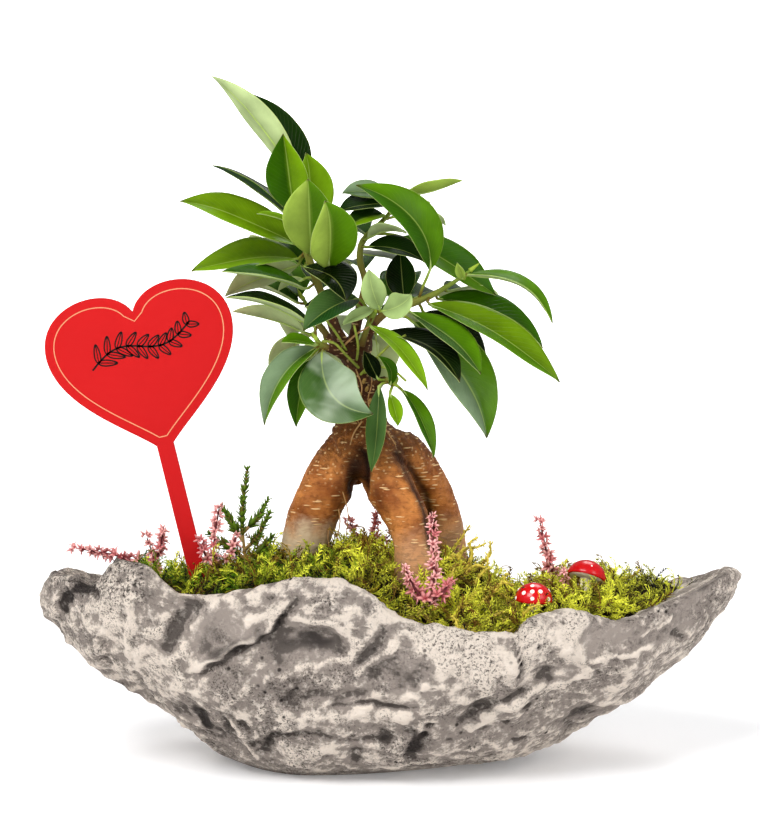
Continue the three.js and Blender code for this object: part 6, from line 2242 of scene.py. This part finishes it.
@dataclass
class Mushroom:
    """A toy mushroom: a glossy domed cap with gills and raised dots, and a pale stem."""

    side: str
    cap: Triple
    radius: float
    height: float
    lean: float
    stem_length: float
    back: float
    dots: tuple[tuple[float, float, float], ...]

    def turned(self) -> Matrix:
        """The cap's place and lean, in millimetres."""
        lean = Matrix.Rotation(math.radians(self.lean), 4, "Y")
        back = Matrix.Rotation(math.radians(-self.back), 4, "X")
        return Matrix.Translation(EYE.place(self.cap)) @ back @ lean

    def lathe(self, shape: Shape, profile: Sequence[Pair], sides: int, ribs: float = 0.0) -> None:
        """Turns a profile about the stem's axis into a closed skin.

        Args:
            shape: The mesh that it joins.
            profile: Radii and heights; the first and last radius are 0.
            sides: Places round it.
            ribs: How deep the gills under the cap are.
        """
        where = self.turned()
        rows = []
        for number, (radius, height) in enumerate(profile[1:-1]):
            ring = []
            for k, (cosine, sine) in enumerate(circle(sides)):
                gill = ribs * (k % 2) if number < 4 else 0
                ring.append(shape.add(where @ Vector((radius * cosine, radius * sine, height - gill))))
            rows.append(ring)
        shape.shell(rows, [shape.add(where @ Vector((0, 0, profile[end][1]))) for end in (0, -1)])

    def build(self, red: Material, white: Material, pale: Material) -> None:
        """Makes the cap and the stem.

        Args:
            red: The cap's finish.
            white: The dots' finish.
            pale: The stem's and the gills' finish.
        """
        cap, radius = Shape(), self.radius
        profile = [(0, 0.7), (radius * 0.3, 0.75), (radius * 0.55, 0.85), (radius * 0.85, 0.7),
                   (radius * 0.96, 0.15)]
        for k in range(13):
            angle = math.pi / 2 * (k / 13)
            profile.append((radius * math.cos(angle), 0.3 + (self.height - 0.3) * math.sin(angle)))
        profile.append((0, self.height))
        self.lathe(cap, profile, 56)
        where = self.turned()
        for turn, tilt, size in self.dots:
            around, up = math.radians(turn), math.radians(tilt)
            out = Vector((math.cos(up) * math.sin(around), -math.cos(up) * math.cos(around), math.sin(up)))
            spot = Vector((out.x * self.radius, out.y * self.radius, 0.3 + out.z * (self.height - 0.3)))
            away = Vector((out.x / self.radius, out.y / self.radius, out.z / self.height))
            cap.ball(where @ spot, where.to_3x3() @ away, (size, 0.32), 1, (1, 1, 1, 1))
        piece = cap.piece(f"toadstool_cap_{self.side}", red, white)
        dress(piece, "cap_red", f"mushroom_cap_{self.side}")
        stem, low = Shape(), -self.stem_length
        profile = [(0, low), (1.4, low), (1.8, low + 0.6), (2.5, low * 0.6), (3.1, -6), (3.3, -4), (3.3, -2),
                   (3.3, -0.6), (3.4, 0.1), (3.0, 0.5), (0, 0.5)]
        self.lathe(stem, profile, 32)
        gills = [(0, 0.1), (2.4, 0.1), (radius * 0.5, 0.15), (radius * 0.86, 0.2), (radius * 0.86, 0.75),
                 (radius * 0.5, 0.95), (2.4, 0.9), (0, 0.9)]
        self.lathe(stem, gills, 96, ribs=0.35)
        dress(stem.piece(f"toadstool_stem_{self.side}", pale), "stem_white", f"mushroom_stem_{self.side}")


@dataclass
class HeartPick:
    """The red heart and its stick, cut from one board, with fine drawn lines on its front."""

    thickness: float = 3.0
    lean: float = 13.3
    half_stick: float = 4.25
    buried: float = 38.0
    stick: float = 65.7
    taper: float = 8.0
    foot: Triple = (-96.5, 95, -15)
    border: float = 4.6
    line: float = 0.5
    proud: float = 0.06

    def place(self, u: float, v: float, out: float) -> Vector:
        """A place on the board.

        Args:
            u: Across, from the stick's middle.
            v: Up, from the stick's place in the moss.
            out: Towards the viewer, from the board's middle.

        Returns:
            The place in space.
        """
        angle = math.radians(self.lean)
        cosine, sine = math.cos(angle), math.sin(angle)
        return EYE.place(self.foot) + Vector((u * cosine - v * sine, -out, u * sine + v * cosine))

    def outline(self, steps: int = 26) -> list[Pair]:
        """The heart's outline, from the stick's right edge round to its left edge.

        Args:
            steps: Places on each of its four curves.

        Returns:
            The places, across and over the heart's point.
        """
        half = self.half_stick
        curves = (
            ((half, 0), (16, 12), (47, 30), (47, 55)),
            ((47, 55), (46.5, 82), (8, 85.5), (0, 67.7)),
            ((0, 67.7), (-8, 85.5), (-46.5, 82), (-47, 55)),
            ((-47, 55), (-47, 30), (-16, 12), (-half, 0)),
        )
        places = []
        for a, b, c, d in curves:
            for k in range(steps):
                t = k / steps
                weights = ((1 - t) ** 3, 3 * t * (1 - t) ** 2, 3 * t * t * (1 - t), t**3)
                spot = [sum(w * p[axis] for w, p in zip(weights, (a, b, c, d))) for axis in (0, 1)]
                places.append(tuple(spot))
        places.append((-half, 0))
        return places

    def ribbon(self, shape: Shape, points: Sequence[Pair], width: float, tint: Sequence[float]) -> None:
        """A fine drawn line on the board's front.

        Args:
            shape: The mesh that it joins.
            points: Its places across and over the heart's point.
            width: Its width.
            tint: Its colour.
        """
        front = self.thickness / 2
        rows = []
        for k, (u, v) in enumerate(points):
            before, after = points[max(0, k - 1)], points[min(len(points) - 1, k + 1)]
            run = Vector((after[0] - before[0], after[1] - before[1]))
            side = Vector((-run.y, run.x)).normalized() * (width / 2)
            row = []
            for sign, out in ((-1, front - 0.3), (1, front - 0.3), (1, front + self.proud),
                              (-1, front + self.proud)):
                place = self.place(u + side.x * sign, v + side.y * sign + self.stick, out)
                row.append(shape.add(place, tint))
            rows.append(row)
        shape.slab(rows, 1)

    def board(self, shape: Shape) -> None:
        """Adds the board with softened edges.

        Args:
            shape: The mesh.
        """
        low = -self.stick - self.buried
        outline = self.outline()
        outline += [(-self.half_stick, low + self.taper), (0, low), (self.half_stick, low + self.taper)]
        count = len(outline)
        rows = []
        for inset, out in ((0.35, -1), (0.1, -0.93), (0, -0.8), (0, 0.8), (0.1, 0.93), (0.35, 1)):
            row = []
            for k, (u, v) in enumerate(outline):
                before, after = outline[k - 1], outline[(k + 1) % count]
                run = Vector((after[0] - before[0], after[1] - before[1])).normalized()
                u, v = u - run.y * inset, v + run.x * inset
                row.append(shape.add(self.place(u, v + self.stick, out * self.thickness / 2)))
            rows.append(row)
        shape.slab(rows)

    def border_line(self) -> list[Pair]:
        """A line inside the heart's edge, kept clear of the edge all the way."""
        outline = self.outline(40)
        inner = []
        for k in range(1, len(outline) - 1):
            (u0, v0), (u, v), (u1, v1) = outline[k - 1 : k + 2]
            run = Vector((u1 - u0, v1 - v0)).normalized()
            spot = (u - run.y * self.border, v + run.x * self.border)
            nearest = min(math.hypot(spot[0] - p[0], spot[1] - p[1]) for p in outline)
            if nearest > self.border - 0.15:
                inner.append(spot)
        return [*inner, inner[0]]

    def leaf_line(self, foot: Pair, angle: float, length: float, width: float) -> list[Pair]:
        """The outline of a small drawn leaf.

        Args:
            foot: Where it starts.
            angle: Where it points, in degrees.
            length: Its length.
            width: Its width.

        Returns:
            Its places.
        """
        way = (math.cos(math.radians(angle)), math.sin(math.radians(angle)))
        places = []
        for k in range(21):
            turn = 2 * math.pi * k / 20
            along = length * (1 - math.cos(turn)) / 2
            side = width / 2 * math.sin(turn) * (0.75 + 0.25 * math.cos(turn))
            places.append((foot[0] + way[0] * along - way[1] * side,
                           foot[1] + way[1] * along + way[0] * side))
        return places

    def drawing(self, shape: Shape) -> None:
        """Adds the border and a plain leafy spray of the maker's own.

        Args:
            shape: The mesh.
        """
        tan, black = linear(214, 142, 104), linear(26, 14, 14)
        self.ribbon(shape, self.border_line(), self.line, tan)
        spray = [(-26 + 1.3 * k, 44 + 0.32 * k + 4.5 * math.sin(math.pi * k / 20)) for k in range(41)]
        self.ribbon(shape, spray, 0.9, black)
        for k in range(3, 41, 4):
            run = Vector(spray[k]) - Vector(spray[k - 1])
            way = math.degrees(math.atan2(run.y, run.x))
            for turn in (50, -50):
                length = 9.5 - 0.09 * k
                leaf = self.leaf_line(spray[k], way + turn, length, 3.8)
                self.ribbon(shape, leaf, 0.7, black)
                self.ribbon(shape, [leaf[0], leaf[10]], 0.5, black)

    def build(self) -> None:
        """Makes the pick and dresses it."""
        shape = Shape()
        self.board(shape)
        self.drawing(shape)
        red = PaintFinish("sign_paint", (184, 26, 27), (174, 22, 24), 0.5, 0.12).material()
        ink = TintFinish("sign_ink", 0.75, 900, 0.0001, 0.15).material()
        dress(shape.piece("heart_sign", red, ink, smooth=False), "sign_red", "heart_pick")


@dataclass
class Studio:
    """The white cove, the lights and the camera."""

    radius: float = 3.0
    wall: float = 1.3
    curve: float = 0.4
    sky: float = 0.26
    sunk: float = 0.0003
    middle: Triple = (0, 0, 0.15)

    def cove(self) -> None:
        """A round white floor that curves up into a low wall; it glows a little away from the plant."""
        shape = Shape()
        profile = [(0.15 * k, 0.0) for k in range(1, 18)]
        for k in range(9):
            angle = math.pi / 2 * k / 8
            profile.append((self.radius - self.curve + self.curve * math.sin(angle),
                            self.curve * (1 - math.cos(angle))))
        profile.append((self.radius, self.wall))
        rows = []
        for radius, height in profile:
            ring = [Vector((radius * x, radius * y, height - self.sunk)) / MM for x, y in circle(96)]
            rows.append([shape.add(place) for place in ring])
        shape.skin(rows)
        shape.face(rows[0])
        sketch = Sketch("cove_white", Roughness=0.6, Base_Color=(0.94, 0.94, 0.95, 1), Specular_IOR_Level=0.2,
                        Emission_Color=(1, 1, 1, 1))
        away = sketch.out("ShaderNodeVectorMath", {0: sketch.stretched(1, 1, 0)}, "Value", operation="LENGTH")
        glow = sketch.span(away, 0.25, 1.0, 0.12, 0.55) + sketch.span(away, 1.0, 2.8, 0, 0.45)
        glow = glow * sketch.span(sketch.spot.axis("Y"), -1.4, -0.5, 0.3, 1.0)
        cove = shape.piece("cove", sketch.wire(Emission_Strength=glow))
        cove.visible_glossy = False

    @staticmethod
    def aim(name: str, data: bpy.types.ID, place: Vector, way: Vector) -> Piece:
        """Puts a light or the camera at a place, in metres, looking along a way."""
        made = placed(name, data)
        made.location = place
        made.rotation_mode = "QUATERNION"
        made.rotation_quaternion = way.to_track_quat("-Z", "Y")
        return made

    def light(self, name: str, place: Triple, size: float, power: float) -> None:
        """A soft square light that looks at the plant.

        Args:
            name: Its name.
            place: Where it hangs, in metres.
            size: Its side, in metres.
            power: Its power, in watts.
        """
        data = bpy.data.lights.new(name, "AREA")
        data.size, data.energy = size, power
        self.aim(name, data, Vector(place), Vector(self.middle) - Vector(place))

    def camera(self) -> None:
        """The camera at the photograph's angle."""
        data = bpy.data.cameras.new("camera")
        data.sensor_width = EYE.sensor
        data.lens = EYE.sensor * EYE.distance / EYE.frame_height
        tilt = math.radians(EYE.tilt)
        way = Vector((0, math.cos(tilt), -math.sin(tilt)))
        target = Vector((EYE.across, 0, EYE.up / math.cos(tilt))) * MM
        bpy.context.scene.camera = self.aim("camera", data, target - way * EYE.distance * MM, way)

    def build(self) -> None:
        """Sets up the stage."""
        self.cove()
        world = bpy.data.worlds.new("studio")
        world.use_nodes = True
        world.node_tree.nodes["Background"].inputs[0].default_value = (1, 1, 1, 1)
        world.node_tree.nodes["Background"].inputs[1].default_value = self.sky
        bpy.context.scene.world = world
        self.light("key", (-0.85, -1.3, 1.9), 1.1, 45)
        self.light("side", (1.3, -1.0, 1.1), 0.9, 9)
        self.light("back", (0.4, 1.2, 1.7), 0.9, 13)
        self.camera()
        bpy.context.scene.view_settings.view_transform = "Standard"


def main() -> None:
    """Builds every sub-assembly in order."""
    logging.basicConfig(level=logging.INFO, format="%(message)s")
    noise.seed_set(RELIEF_SEED)
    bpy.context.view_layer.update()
    Studio().build()
    planter = Planter()
    planter.build()
    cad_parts["soil"].data.materials.clear()
    soil = GroundFinish("soil", (34, 25, 18), (84, 62, 44), (400, 6, 0.7), 0.95, 0.5, 0.4)
    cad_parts["soil"].data.materials.append(soil.material())
    moss = MossBed(planter)
    moss.build()
    Trunk().build()
    leaf, young = LeafFinish("leaf").material(), LeafFinish("young_leaf", 0.34, 0.5).material()
    for shoot in SHOOTS:
        shoot.build(young if shoot.slot == "young_leaf" else leaf)
    SprigMaker(moss).build()
    red = PaintFinish("cap_gloss", (200, 14, 24), (170, 8, 18), 0.14, 0.45).material()
    white = PaintFinish("dot_white", (250, 244, 238), (238, 228, 220), 0.5).material()
    pale = PaintFinish("stem_cream", (238, 226, 204), (222, 204, 176), 0.6).material()
    Mushroom("right", (98, 91, -22), 10.0, 9.5, 15, 22, 26, (
        (8, 30, 0.5), (150, 35, 1.1), (-140, 38, 1.0), (120, 66, 1.0), (-110, 66, 1.1),
        (180, 60, 1.0))).build(red, white, pale)
    Mushroom("left", (71.8, 80, -46), 9.3, 9, 3, 16, 0, (
        (-43, 32, 1.2), (-11, 41, 1.2), (23, 42, 1.25), (-8, 17, 1.1), (51, 14, 1.1), (-20, 66, 1.1),
        (100, 36, 1.1), (150, 30, 1.1), (-100, 34, 1.1), (-150, 34, 1.1), (180, 64, 1.1), (90, 8, 1.0),
        (130, 6, 1.0), (-75, 8, 1.0), (-130, 8, 1.0), (170, 8, 1.0))).build(red, white, pale)
    HeartPick().build()


if __name__ == "__main__":
    main()
